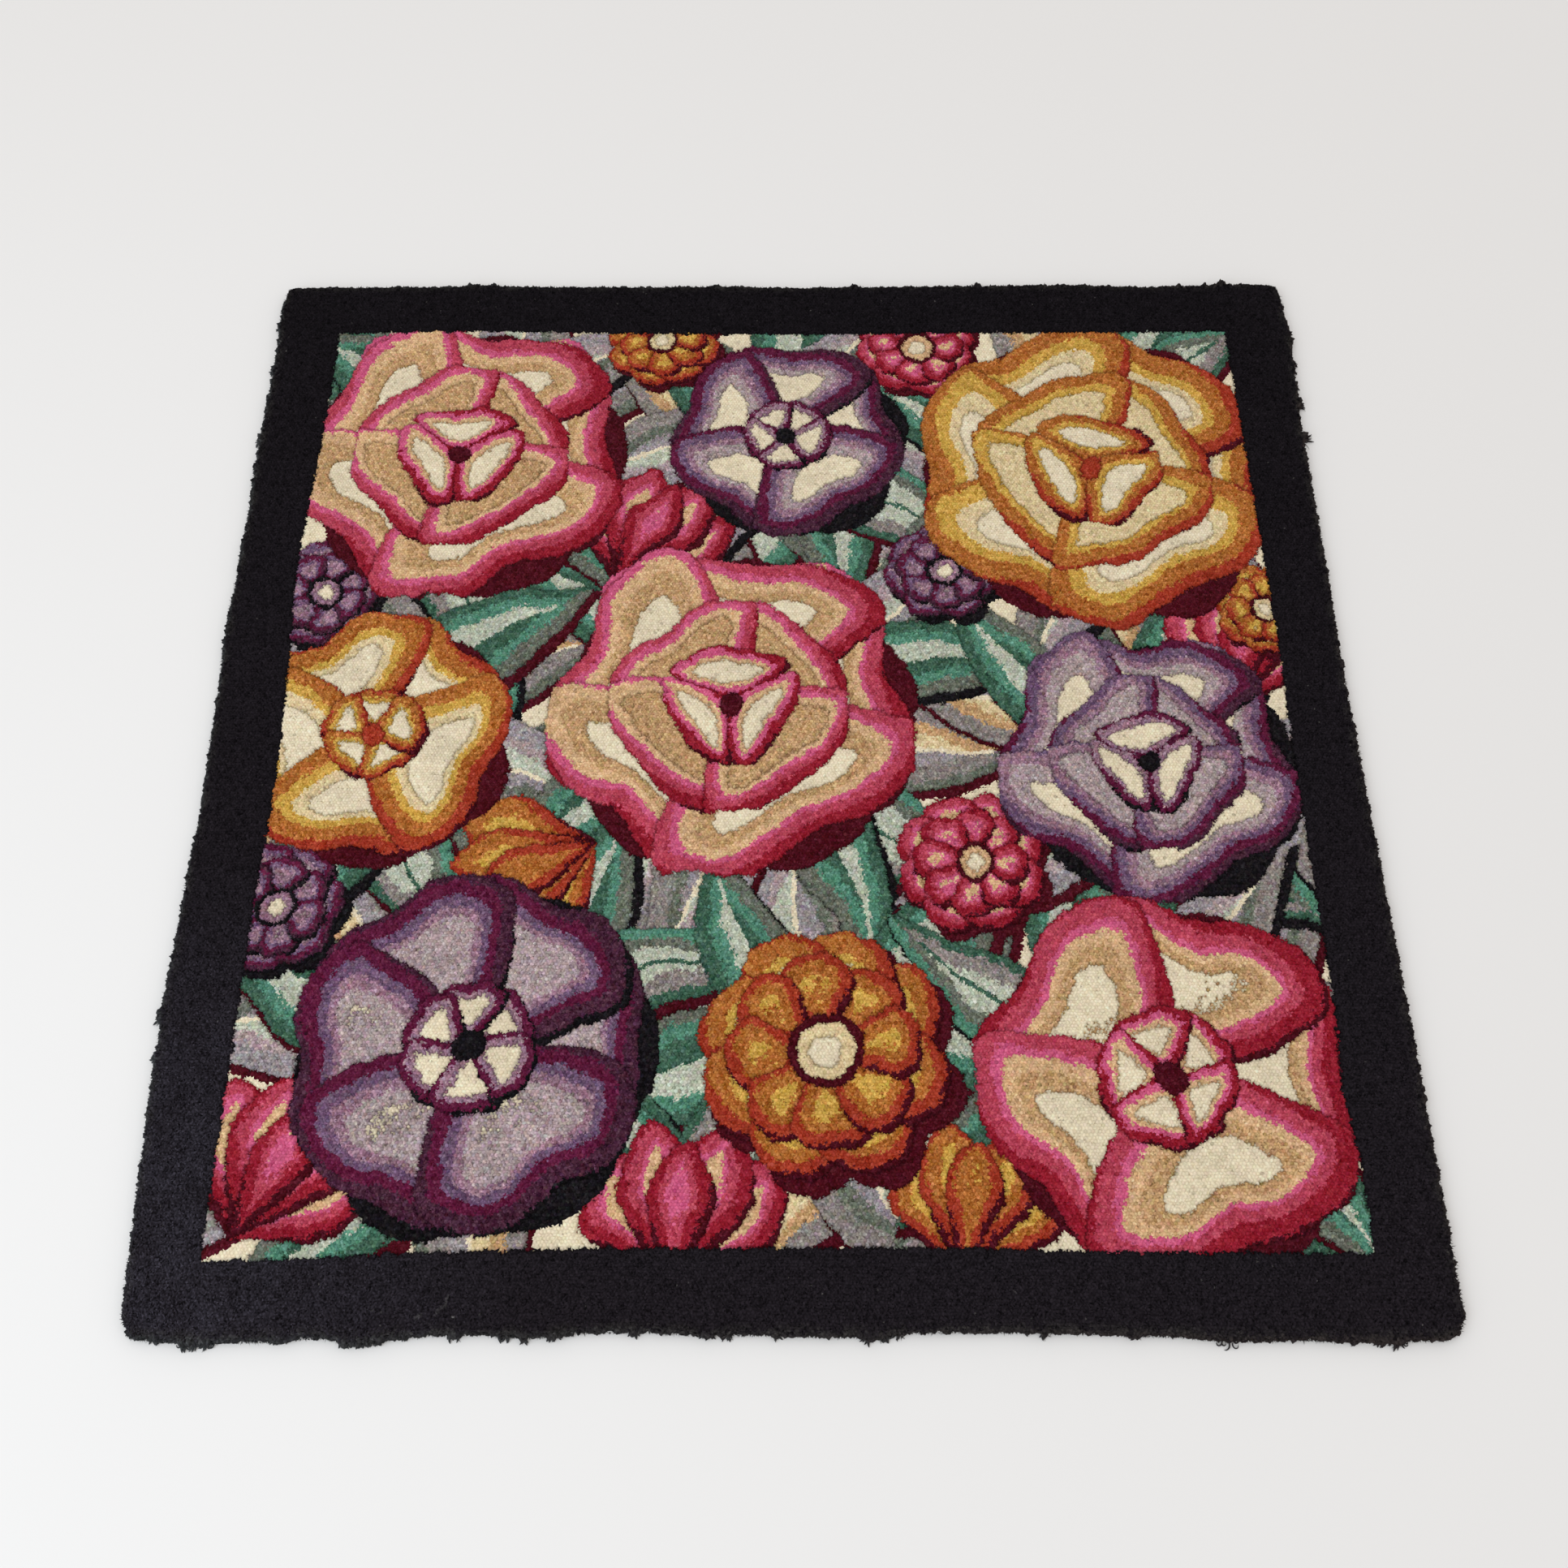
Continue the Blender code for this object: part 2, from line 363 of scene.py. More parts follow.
# %% One petal, one disc
WIDEST_AT = 0.6
BASE_WIDTH = 0.55


def lay_petal(x, y, angle, base, tip, half_width, power, lean, bands, scale=1.0, notch=0.12):
    """One petal from a heart at x, y. Inside is 1 - |u|^power - |v|^power > 0, and depth is that over its
    slope; on the side towards the light, lean times the half width is added to it."""
    places = near(x, y, tip + 5)
    along, across = turned(hand_x[places] - x, hand_y[places] - y, angle)
    widest = base + WIDEST_AT * (tip - base)
    length = np.where(along > widest, tip - widest, widest - base)
    dent = notch * half_width * np.exp(-((across / (0.3 * half_width)) ** 2)) * (along > widest)
    swell = np.clip((along - base) / (widest - base), 0, 1)
    width = half_width * (BASE_WIDTH + (1 - BASE_WIDTH) * swell)
    u = np.abs((along + dent - widest) / length)
    v = np.abs(across / width)
    slope = power * np.hypot(u ** (power - 1) / length, v ** (power - 1) / width) + 1e-6
    depth = np.minimum((1 - u**power - v**power) / slope, half_width)
    inside = depth > 0
    light_along, light_across = turned(*LIGHT_FROM, angle)
    lit = (light_along * (along - widest) + light_across * across) / half_width
    depth = depth + lean * half_width * np.clip(0.5 + 0.55 * lit, 0, 1)
    yarn, band = shaded((depth + melt[places])[inside], bands, scale)
    work(places, inside, yarn, next(shape_numbers) + (band == len(bands) - 1))


def lay_disc(flower, share, yarn):
    """A round heart of one yarn, its radius a share of the flower's."""
    places = near(flower.x, flower.y, share * flower.radius)
    from_heart = np.hypot(hand_x[places] - flower.x, hand_y[places] - flower.y)
    work(places, from_heart < share * flower.radius, YARN_NUMBER[yarn], next(shape_numbers))


# %% [markdown]
# ## The flowers
#
# The field is filled with ordinary garden flowers in three families of wool. A rose has three whorls, a
# poppy one wide whorl and a small crown, a daisy two rings of narrow petals round a disc, and a bud is a fan
# of pointed petals. Each throws a dark shape behind itself, away from the light. Flowers are given by their
# centre and radius in mm, their petals and their turn in degrees.

# %% How each family is shaded, from a petal's rim to its middle
Family = namedtuple("Family", "outer inner crown dark heart pale")
FAMILIES = {
    "rose": Family(
        (("oxblood", 13), ("crimson", 28), ("rose", 22), ("pink", 14),
         ("peach", 28), ("tan", 56), ("cream", 0)),
        (("oxblood", 10), ("crimson", 16), ("rose", 13), ("pink", 10), ("peach", 18), ("tan", 0)),
        (("oxblood", 9), ("crimson", 12), ("pink", 11), ("peach", 14), ("cream", 0)),
        "oxblood", "oxblood", "peach",
    ),
    "golden": Family(
        (("oxblood", 13), ("rust", 24), ("ochre", 34), ("gold", 30), ("pale_gold", 44), ("cream", 0)),
        (("oxblood", 10), ("rust", 15), ("ochre", 22), ("gold", 18), ("pale_gold", 0)),
        (("oxblood", 9), ("rust", 9), ("ochre", 13), ("gold", 13), ("cream", 0)),
        "oxblood", "rust", "pale_gold",
    ),
    "purple": Family(
        (("black", 13), ("aubergine", 24), ("plum", 19), ("periwinkle", 20),
         ("lilac", 24), ("grey_lilac", 50), ("cream", 0)),
        (("black", 9), ("aubergine", 10), ("plum", 12), ("periwinkle", 14), ("lilac", 16), ("grey_lilac", 0)),
        (("black", 9), ("plum", 13), ("lilac", 14), ("cream", 0)),
        "black", "black", "lilac",
    ),
}
print({name: len(family.outer) for name, family in FAMILIES.items()}, "bands in an outer petal")

# %% Where the flowers are
Flower = namedtuple("Flower", "family kind x y radius petals turn")
LARGE = (
    ("rose", "rose", -430, 410, 215, 5, 8),
    ("purple", "poppy", 5, 440, 155, 5, 18),
    ("golden", "rose", 410, 385, 235, 6, 0),
    ("golden", "poppy", -500, -5, 165, 5, 50),
    ("rose", "rose", -65, 35, 220, 5, 12),
    ("purple", "rose", 440, -45, 175, 5, 15),
    ("purple", "poppy", -350, -395, 205, 6, 4),
    ("golden", "daisy", 45, -400, 150, 8, 28),
    ("rose", "poppy", 425, -430, 210, 5, 2),
)
SMALL = (
    ("rose", "bud", -215, 215, 185, 5, 62),
    ("purple", "daisy", 205, 225, 78, 7, 40),
    ("golden", "bud", -225, -150, 170, 5, 205),
    ("rose", "daisy", 222, -175, 92, 8, 22),
    ("purple", "daisy", -590, -230, 84, 7, 5),
    ("rose", "bud", 560, 40, 170, 5, 78),
    ("golden", "bud", 190, -640, 165, 5, 80),
    ("rose", "bud", -120, -660, 190, 5, 84),
    ("purple", "daisy", -585, 195, 80, 7, 0),
    ("rose", "daisy", 185, 590, 88, 8, 18),
    ("golden", "daisy", -165, 600, 82, 8, 30),
    ("rose", "bud", -590, -600, 190, 5, 60),
    ("golden", "daisy", 612, 170, 70, 7, 60),
)
LARGE_FLOWERS = [Flower(*values) for values in LARGE]
SMALL_FLOWERS = [Flower(*values) for values in SMALL]
BUD_PETALS = ((-34, 0.95, 0.27), (34, 0.90, 0.27), (-14, 1.00, 0.24), (14, 0.97, 0.24), (0, 0.86, 0.20))


def lay_whorl(flower, count, turn, base, tip, width, power, lean, bands, full_size, notch=0.12):
    """A ring of petals. Base, tip and half width are shares of the radius; bands fit a flower's full size."""
    r = flower.radius
    for k in range(count):
        angle = flower.turn + turn + 360 * k / count
        lay_petal(
            flower.x, flower.y, angle, base * r, tip * r, width * r, power, lean, bands, r / full_size, notch
        )


def lay_flower(flower):
    """All whorls of a flower, the outer one first, and its heart."""
    family = FAMILIES[flower.family]
    petals = flower.petals
    spread = math.sin(math.pi / petals)
    if flower.kind == "rose":
        lay_whorl(flower, petals, 0, 0.05, 1, 1.4 * spread, 2.2, 0.42, family.outer, 215)
        lay_whorl(flower, 4, 30, 0, 0.64, 0.55, 2.0, 0.42, family.inner, 190, 0.05)
        lay_whorl(flower, 3, 80, 0, 0.36, 0.34, 1.9, 0.35, family.crown, 190, 0.05)
        lay_disc(flower, 0.07, family.heart)
    elif flower.kind == "poppy":
        lay_whorl(flower, petals, 0, 0, 1, 1.3 * spread, 2.1, 0.32, family.outer, 190)
        lay_whorl(flower, petals, 180 / petals, 0, 0.4, 0.44 * spread, 1.6, 0.3, family.crown, 230)
        lay_disc(flower, 0.09, family.heart)
    elif flower.kind == "daisy":
        for turn, share in ((0, 1.0), (180 / petals, 0.78)):
            lay_whorl(flower, petals, turn, 0.1, share, share * spread, 1.7, 0.5, family.inner, 130)
        for share, yarn in ((0.28, family.dark), (0.22, family.pale), (0.12, "cream")):
            lay_disc(flower, share, yarn)
    else:
        for turn, share, width in BUD_PETALS:
            lay_whorl(flower, 1, turn, 0, share, width, 1.5, 0.5, family.inner, 170, 0)


print(len(LARGE_FLOWERS), "large flowers,", len(SMALL_FLOWERS), "small ones")

# %% [markdown]
# A leaf grows from under a flower. Its half width swells and closes along a bent midrib, each half has its
# own bands, and a dark shape behind it works as its shadow. The leaves are listed flower by flower.

# %% Leaves and shadows
Leaf = namedtuple("Leaf", "flower angle length width bend wool")
LEAF_BANDS = {
    "green": (
        (("deep_teal", 17), ("teal", 15), ("mint", 0)),
        (("sage", 18), ("teal", 14), ("deep_teal", 0)),
        "mint",
    ),
    "grey": (
        (("blue_grey", 24), ("grey_lilac", 14), ("mint", 0)),
        (("warm_grey", 26), ("sage", 14), ("blue_grey", 0)),
        "cream",
    ),
    "mint": (
        (("teal", 14), ("sage", 14), ("mint", 0)),
        (("deep_teal", 12), ("warm_grey", 18), ("mint", 0)),
        "deep_teal",
    ),
    "warm": (
        (("warm_grey", 22), ("tan", 16), ("pale_gold", 0)),
        (("sage", 14), ("warm_grey", 22), ("blue_grey", 0)),
        "cream",
    ),
}
LEAVES = (
    ((36, 350, 120, 30, "grey"), (-42, 400, 120, 30, "green"), (-75, 400, 130, -30, "mint"),
     (-120, 330, 110, 26, "green"), (140, 320, 120, -26, "green")),
    ((-75, 300, 110, 20, "green"), (-118, 290, 110, -24, "grey"), (-30, 330, 120, -30, "mint"),
     (128, 290, 120, 26, "green"), (52, 260, 110, 20, "grey")),
    ((150, 380, 110, 30, "green"), (-140, 420, 130, -30, "green"), (-112, 380, 110, 24, "grey"),
     (46, 340, 120, 20, "mint")),
    ((100, 260, 120, -20, "grey"), (38, 330, 130, 26, "green"), (-24, 330, 130, 26, "grey"),
     (-62, 300, 120, -30, "mint"), (-112, 300, 120, 24, "green")),
    ((40, 400, 130, -34, "grey"), (8, 420, 120, 30, "green"), (-36, 430, 130, -30, "mint"),
     (-64, 420, 110, 30, "green"), (-104, 380, 130, 26, "grey"), (-136, 360, 120, -28, "green")),
    ((132, 340, 110, 26, "green"), (60, 300, 110, -24, "green"), (-150, 360, 120, 30, "grey"),
     (-48, 280, 120, -20, "mint")),
    ((152, 360, 130, 26, "green"), (62, 350, 120, -30, "green"), (18, 370, 110, 26, "mint"),
     (-38, 360, 120, 26, "green"), (-142, 350, 120, -24, "grey")),
    ((118, 280, 110, 24, "green"), (52, 330, 120, -26, "green"), (-52, 290, 110, 24, "grey"),
     (-128, 290, 110, -20, "mint")),
    ((148, 360, 110, 26, "mint"), (-152, 350, 130, -26, "green"), (58, 330, 110, 24, "grey"),
     (-46, 320, 110, 24, "green")),
)


LEAF_SHADOW = (7, -9)
RIB_WIDTH = 2.6


def leaf_depth(along, across, length, half_width, bend):
    """Depth inside a leaf, side of its midrib, share of its length. Half width is a sine swell to a power."""
    share = np.clip(along / length, 0, 1)
    side = across - 4 * bend * share * (1 - share)
    swell = half_width * np.sin(math.pi * share**0.8) ** 0.85
    return np.where((along > 0) & (along < length), swell - np.abs(side), -1), side, share


def lay_leaf(leaf, dark):
    """A leaf with its shadow, two banded halves and a thin midrib."""
    flower = LARGE_FLOWERS[leaf.flower]
    places = near(flower.x, flower.y, leaf.length + 40)
    x = hand_x[places] - flower.x
    y = hand_y[places] - flower.y
    along, across = turned(x - LEAF_SHADOW[0], y - LEAF_SHADOW[1], leaf.angle)
    depth, _, _ = leaf_depth(along - 4, across, leaf.length + 4, leaf.width / 2 + 1, leaf.bend)
    work(places, depth > 0, YARN_NUMBER[dark])
    along, across = turned(x, y, leaf.angle)
    depth, side, share = leaf_depth(along, across, leaf.length, leaf.width / 2, leaf.bend)
    left, right, midrib = LEAF_BANDS[leaf.wool]
    band_depth = depth + melt[places]
    yarn = np.where(side > 0, shaded(band_depth, left)[0], shaded(band_depth, right)[0])
    on_rib = (np.abs(side + 1) < RIB_WIDTH) & (depth > 3) & (share > 0.05) & (share < 0.85)
    yarn = np.where(on_rib, YARN_NUMBER[midrib], yarn)
    work(places, depth > 0, yarn[depth > 0], next(shape_numbers))


def notched(flower, x, y):
    """0 in line with a petal's middle and 1 between two petals, at places given from the flower's centre."""
    angle = np.arctan2(y, x) - math.radians(flower.turn)
    return 1 - np.abs(np.cos(flower.petals * angle / 2))


def lay_shadow(flower, right, down):
    """The dark shape behind a flower: its scalloped outline, moved away from the light."""
    places = near(flower.x, flower.y, flower.radius + 30)
    x = hand_x[places] - flower.x - right
    y = hand_y[places] - flower.y + down
    inside = np.hypot(x, y) < flower.radius * (1 - 0.14 * notched(flower, x, y))
    work(places, inside, YARN_NUMBER[FAMILIES[flower.family].dark])


# %% Working the field, from the ground up
for number, flower in enumerate(LARGE_FLOWERS):
    for k in range(7):
        wool_name = ("warm", "grey", "green")[(k + number) % 3]
        angle = 25 + 17 * number + 360 * k / 7
        lay_leaf(Leaf(number, angle, 1.35 * flower.radius + 90, 130, 24 - 48 * (k % 2), wool_name), "oxblood")
leaves = [Leaf(number, *values) for number, group in enumerate(LEAVES) for values in group]
for number, leaf in enumerate(leaves):
    lay_leaf(leaf, ("black", "oxblood")[number % 2])
for flower in SMALL_FLOWERS:
    if flower.kind != "bud":
        lay_shadow(flower, 6, 7)
    lay_flower(flower)
for flower in LARGE_FLOWERS:
    lay_shadow(flower, 11, 14)
    lay_flower(flower)
print(len(leaves), "leaves over the ground")

# %% The line between field and border, and the border's yarn
FIELD_LINE = {
    "near": ((60, 76), (180, 79), (300, 85), (500, 89), (900, 89), (1000, 85), (1200, 83)),
    "far": ((100, 86), (200, 83), (340, 83), (460, 86), (620, 88), (780, 89), (900, 87), (1220, 85)),
    "left": ((180, 85), (300, 82), (420, 77), (500, 77), (580, 83), (740, 89), (820, 89), (900, 86)),
    "right": ((100, 86), (340, 82), (580, 79), (740, 82), (1060, 81), (1140, 86), (1220, 79)),
}
HALF_MM = HALF_SIDE / MM


def line_distance(side, along):
    """How far the field's line lies from one side of the true square, at places from the middle, in mm. It
    runs through points given from the left end, or from the far end for the left and right sides."""
    places, distances = zip(*FIELD_LINE[side])
    return np.interp(HALF_MM + (along if SIDE_WAYS[side][1] else -along), places, distances)


def inside_field(x, y):
    """True inside the border. x and y are in mm from the middle of the true square."""
    across = (x > line_distance("left", y) - HALF_MM) & (x < HALF_MM - line_distance("right", y))
    return across & (y > line_distance("near", x) - HALF_MM) & (y < HALF_MM - line_distance("far", x))


face_in_field = inside_field(bent_x, bent_y)
on_border = ~face_in_field
yarn_of[on_border] = YARN_NUMBER["black"]
shape_of[on_border] = -1
tuft_in_field = inside_field(*tuft_place.T / MM)
used = np.bincount(yarn_of.ravel(), minlength=len(YARNS))
print({name: int(used[number]) // 6 for name, number in YARN_NUMBER.items()})

# %% [markdown]
# ## The colour of the wool
#
# Every tuft catches the light a little differently, and heathered yarns differ in hue as well. Soft patches
# stand for pile that leans this way and that: painted sheen and shade, and some fading. A few tufts sit low,
# their colour darkened as painted shade, so they look like dark pits. On the border, painted light and some
# fading make the wool lighter toward the near side and paler in patches at the near left. The wool along the
# rim is worn, and its rolled side is painted lighter against its own shade, with some lint and a few scuffs.

# %% Wool colours, tuft by tuft
TONE_GRAIN, HUE_GRAIN, FIBRE_GRAIN = 10, 2.5, 12
PATCH = 0.05
FLECK_SHARE = 0.6
LOW_SHARE = 0.005
LOW_TUFT_SHADE = 0.7

count = len(tufts)
own_tone = chance.normal(0, 1, (count, 1, 1))
own_hue = chance.normal(0, 1, (count, 1, 3))
fibre_tone = chance.normal(0, 1, (count, 6, 1))
heather = card[yarn_of][..., 3:]
# Soft patches: painted sheen and shade of pile that leans this way and that, and some fading.
lean_sheen_and_fade = PATCH * drift(draw_x, draw_y, 150, 11) + PATCH * drift(draw_x, draw_y, 38, 12)
grain = TONE_GRAIN * own_tone + HUE_GRAIN * own_hue + FIBRE_GRAIN * fibre_tone
grain = (0.45 + 5 * heather) * grain
grain = np.where(face_in_field[..., None], grain, 0)
spread = heather * (0.5 * own_tone + 0.5 * fibre_tone + 0.25 * own_hue)
wool = linear(card[yarn_of][..., :3] + grain) * (1 + spread + lean_sheen_and_fade[..., None])
flecked = chance.random(draw_x.shape) < FLECK_SHARE * heather[..., 0]
fleck = np.where(flecked, chance.uniform(0.45, 0.85, draw_x.shape), 1)
wool = wool * fleck[..., None]
low_tuft = chance.random(count) < LOW_SHARE
# Low tufts are darkened as painted shade, besides their lowered tops further on.
wool = np.where(low_tuft[:, None, None], LOW_TUFT_SHADE * wool, wool)
print("low tufts:", int(low_tuft.sum()), "flecks:", int(flecked.sum()))

# %% Painted light and fading, the worn rim, lint and scuffs on the border
NEAR_LIGHT_AND_FADE = linear((34, 30, 35))
NEAR_LEFT_LIGHT_AND_FADE = linear((54, 52, 61))
WORN = linear((57, 56, 51))
BARE_LIT_COOL = linear((62, 65, 67))
BARE_LIT_WARM = linear((56, 49, 48))
LINT = linear((110, 108, 104))
LINT_SHARE = 0.0006
SIDE_MM = 1400
NEAR_LEFT_PATCH_AT = (-700, -600)
NEAR_LEFT_PATCH_REACH = 330
WORN_REACH = 12
BARE_LIT_REACH = 10
SCUFF = linear((98, 96, 96))
Scuff = namedtuple("Scuff", "x y length angle width share")
SCUFFS = (
    Scuff(-351, -664, 9, 75, 0.9, 0.6),
    Scuff(-352, -671, 1, 0, 1.2, 0.7),
    Scuff(-357, -673, 7, 35, 1.6, 0.2),
    Scuff(-360, -678, 4, 52, 0.8, 0.4),
    Scuff(-379, -680, 4, 30, 2.0, 0.35),
    Scuff(-343, -682, 1, 0, 1.2, 1.0),
    Scuff(-315, -677, 3, 70, 0.7, 0.5),
    Scuff(-385, -697, 1, 0, 1.2, 0.9),
    Scuff(-427, -670, 3, 10, 0.9, 0.35),
    Scuff(-418, -672, 2, -40, 1.0, 0.35),
    Scuff(240, -658, 4, -50, 0.8, 0.4),
)


def mixed(colour, other, share):
    """A mix of two colours, by share of the second."""
    return colour * (1 - share[..., None]) + other * share[..., None]


to_right = np.clip(0.5 + draw_x / SIDE_MM, 0, 1)
# Painted light and fading: the border grows lighter toward the near side.
wool = mixed(wool, NEAR_LIGHT_AND_FADE, on_border * np.clip(0.5 - draw_y / SIDE_MM, 0, 1))
# Paler, bluer patches at the near left of the border: painted light and fading.
from_near_left_patch = np.hypot(draw_x - NEAR_LEFT_PATCH_AT[0], draw_y - NEAR_LEFT_PATCH_AT[1])
near_left = np.clip(1.3 - from_near_left_patch / NEAR_LEFT_PATCH_REACH, 0, 1)
patchy = np.clip(0.8 + 0.3 * drift(draw_x, draw_y, 60, 13) + 0.35 * fibre_tone[..., 0], 0, 1.8)
wool = mixed(wool, NEAR_LEFT_LIGHT_AND_FADE, on_border * np.clip(0.5 * near_left * patchy, 0, 1))
from_rim = HALF_MM - np.maximum(np.abs(draw_x), np.abs(draw_y))
worn_there = np.clip(0.45 + 0.6 * drift(draw_x, draw_y, 30, 14) + 0.35 * own_tone[..., 0], 0, 1)
rim_wear = np.clip(1.2 - np.maximum(from_rim, 0) / WORN_REACH, 0, 1) * worn_there
wool = mixed(wool, WORN, on_border * 0.45 * rim_wear)
# The rolled side of the rim, worn bare, is painted lighter against its own shade: cooler at the left, warmer
# at the right.
bare_and_lit = np.clip(0.6 - from_rim / BARE_LIT_REACH + 0.12 * own_tone[..., 0], 0, 0.8)
wool = mixed(wool, BARE_LIT_COOL, on_border * bare_and_lit * (1 - to_right))
wool = mixed(wool, BARE_LIT_WARM, on_border * bare_and_lit * to_right)
lint = (chance.random(draw_x.shape) < LINT_SHARE) * chance.uniform(0.1, 0.4, draw_x.shape)
wool = mixed(wool, LINT, on_border * lint)
for scuff in SCUFFS:
    along, across = turned(draw_x - scuff.x, draw_y - scuff.y, scuff.angle)
    reach = np.hypot(np.maximum(np.abs(along) - scuff.length / 2, 0), across)
    share = np.clip(1.5 - reach / scuff.width, 0, 1) * chance.uniform(0.5, 1.0, draw_x.shape)
    wool = mixed(wool, SCUFF, on_border * scuff.share * share)
speck = np.clip(1 + 0.13 * own_tone + 0.34 * fibre_tone, 0.25, None)
wool = np.clip(np.where(on_border[..., None], wool * speck, wool), 0.002, 1)
print("mean colour of the field", wool[face_in_field].mean(axis=0).round(3))
print("and of the border", wool[on_border].mean(axis=0).round(4))

# %% [markdown]
# ## The height of the pile
#
# Shearing leaves the pile almost level. Flower heads stand a millimetre or so proud with soft troughs between
# their petals, as on the solid. The scissors leave a narrow groove where carved shapes meet and between
# border and field. Tufts differ in length, some valleys are deep pits, and at the worn rim tufts stand apart.

# %% Where the scissors went
FLOWER_LIFT = 1.5 * MM
PETAL_NOTCH = 0.16
PETAL_TROUGH = 0.6


def flower_lift(x, y):
    """Low domes: the root of one less the fourth power of the share of the way to the rim, less a trough
    between petals."""
    lift = np.zeros_like(x)
    for flower in LARGE_FLOWERS:
        between = notched(flower, x - flower.x, y - flower.y)
        rim = flower.radius * (1 - PETAL_NOTCH * between)
        share = np.hypot(x - flower.x, y - flower.y) / rim
        dome = np.sqrt(np.clip(1 - share**4, 0, 1)) * (1 - PETAL_TROUGH * between**3 * np.minimum(share, 1))
        lift = np.maximum(lift, FLOWER_LIFT * dome)
    return np.where(inside_field(x, y), lift, 0)


lowest_shape = np.full(point_count, 10**6)
highest_shape = np.full(point_count, -(10**6))
np.minimum.at(lowest_shape, tufts, shape_of[..., None])
np.maximum.at(highest_shape, tufts, shape_of[..., None])
in_groove = highest_shape > lowest_shape
print("points in a groove:", int(in_groove.sum()))

# %% [markdown]
# Years of use have loosened tufts at the rim, mostly along the near side, and pushed the pile out in lumps
# there. Between the lumps the rim is toothed by the tufts themselves. At the corners and in a few places
# between, the rim draws in by some millimetres, and yarns and fuzz go with it.

# %% Where the rim is frayed: for each side the place along it, the width and the ends' reach, all in mm
Fray = namedtuple("Fray", "side along width reach")


def frays(**sides):
    """The listed places of each side, given from its left end, or from the far end for left and right."""
    return [Fray(side, *place) for side, places in sides.items() for place in places]


FRAYS = frays(
    near=((44, 11, 3), (79, 7, 7), (94, 21, 6), (178, 19, 2), (244, 8, 5), (263, 34, 3), (282, 6, 4),
     (306, 6, 3), (358, 10, 6), (409, 11, 5), (430, 5, 5), (461, 11, 4), (545, 11, 4), (621, 12, 4),
     (640, 8, 4), (691, 7, 4), (796, 25, 7), (820, 7, 6), (952, 5, 2), (968, 4, 6), (1064, 4, 4),
     (1290, 4, 4), (1318, 15, 5), (1332, 8, 7)),
    right=((84, 3, 4), (99, 5, 5), (136, 7, 6), (148, 4, 6), (175, 4, 5), (205, 10, 9), (262, 10, 12),
     (609, 8, 4), (696, 4, 5), (856, 4, 4)),
    far=((258, 5, 5), (292, 4, 7), (608, 5, 6), (801, 6, 7), (975, 7, 9), (1260, 4, 8), (1296, 6, 7),
     (1320, 8, 10)),
    left=((72, 8, 6), (147, 10, 6), (262, 11, 7), (309, 7, 4), (1057, 11, 9), (1104, 8, 6)),
)
DRAWN_IN = frays(
    left=((0, 22, 6), (1395, 28, 3)),
    far=((20, 60, 2.6), (845, 25, 2.2), (1390, 28, 2.2)),
    right=((0, 20, 8), (150, 90, 2.2)),
    near=((395, 20, 2.6), (620, 28, 2.2), (815, 18, 2.6)),
)
LUMP_SHARE = 0.6
TOOTH = 1.2 * MM
TOOTH_COUNT = 560
TEETH_FROM = 720 * MM


def drawn_in(side, along):
    """How far in metres the rim draws in at places along a side: a bell curve for each row of that side."""
    total = np.zeros_like(along)
    for place in DRAWN_IN:
        if place.side == side:
            total += place.reach * MM * np.exp(-(((along / MM - place.along) / place.width) ** 2))
    return total


tooth_chance = np.random.default_rng(12)
tooth_place = np.cumsum(tooth_chance.uniform(1.6, 3.6, TOOTH_COUNT)) * MM - TEETH_FROM
tooth_out = tooth_chance.normal(0, TOOTH, (4, len(tooth_place)))
for side, side_out in zip(SIDE_WAYS, tooth_out):
    from_end = HALF_SIDE + (tooth_place if SIDE_WAYS[side][1] else -tooth_place)
    for fray in FRAYS:
        if fray.side == side:
            in_lump = np.abs(from_end - fray.along * MM) < (fray.width / 2 + 1) * MM
            side_out[in_lump] += LUMP_SHARE * fray.reach * MM
    side_out -= drawn_in(side, from_end)
print(len(FRAYS), "frayed places, out by up to", round(float(tooth_out.max() / MM), 1), "mm")

# %% How far each point stands above or below the mean pile
VALLEY_DIP = 1.25 * MM
PIT_DIP = 2.6 * MM
PIT_SHARE = 0.012
LOW_TUFT_DIP = 1.8 * MM
GROOVE_DIP = 3.0 * MM
GROOVE_TOP_DIP = 1.7 * MM
UNLEVEL = 0.28 * MM
RAGGED = 0.4 * MM
RIM_BUMP = 0.7 * MM

point_chance = np.random.default_rng(9)
point_x, point_y = flat_points.T
ragged = np.clip(past_flat(point_x, point_y) / SHOULDER, 0, 1)
is_pit = is_valley & (point_chance.random(point_count) < PIT_SHARE)
stand = np.where(is_valley, -VALLEY_DIP * point_chance.uniform(0.45, 1.45, point_count), 0)
stand = np.where(is_pit, -PIT_DIP, stand)
stand = stand + np.where(is_valley, 0, point_chance.normal(0, UNLEVEL, point_count))
stand[tufts[low_tuft, 0, 0]] = -LOW_TUFT_DIP
stand = np.where(in_groove, np.where(is_valley, -GROOVE_DIP, -GROOVE_TOP_DIP), stand)
by_x = np.abs(point_x) > np.abs(point_y)
tooth_side = np.where(by_x, point_x > 0, 2 + (point_y > 0))
tooth_along = np.where(by_x, point_y, point_x)
tooth = np.choose(tooth_side, [np.interp(tooth_along, tooth_place, out) for out in tooth_out])
bump = drift(point_x / MM, point_y / MM, 26, 15) * RIM_BUMP
stand = stand + ragged * (tooth + bump + point_chance.normal(0, RAGGED, point_count))
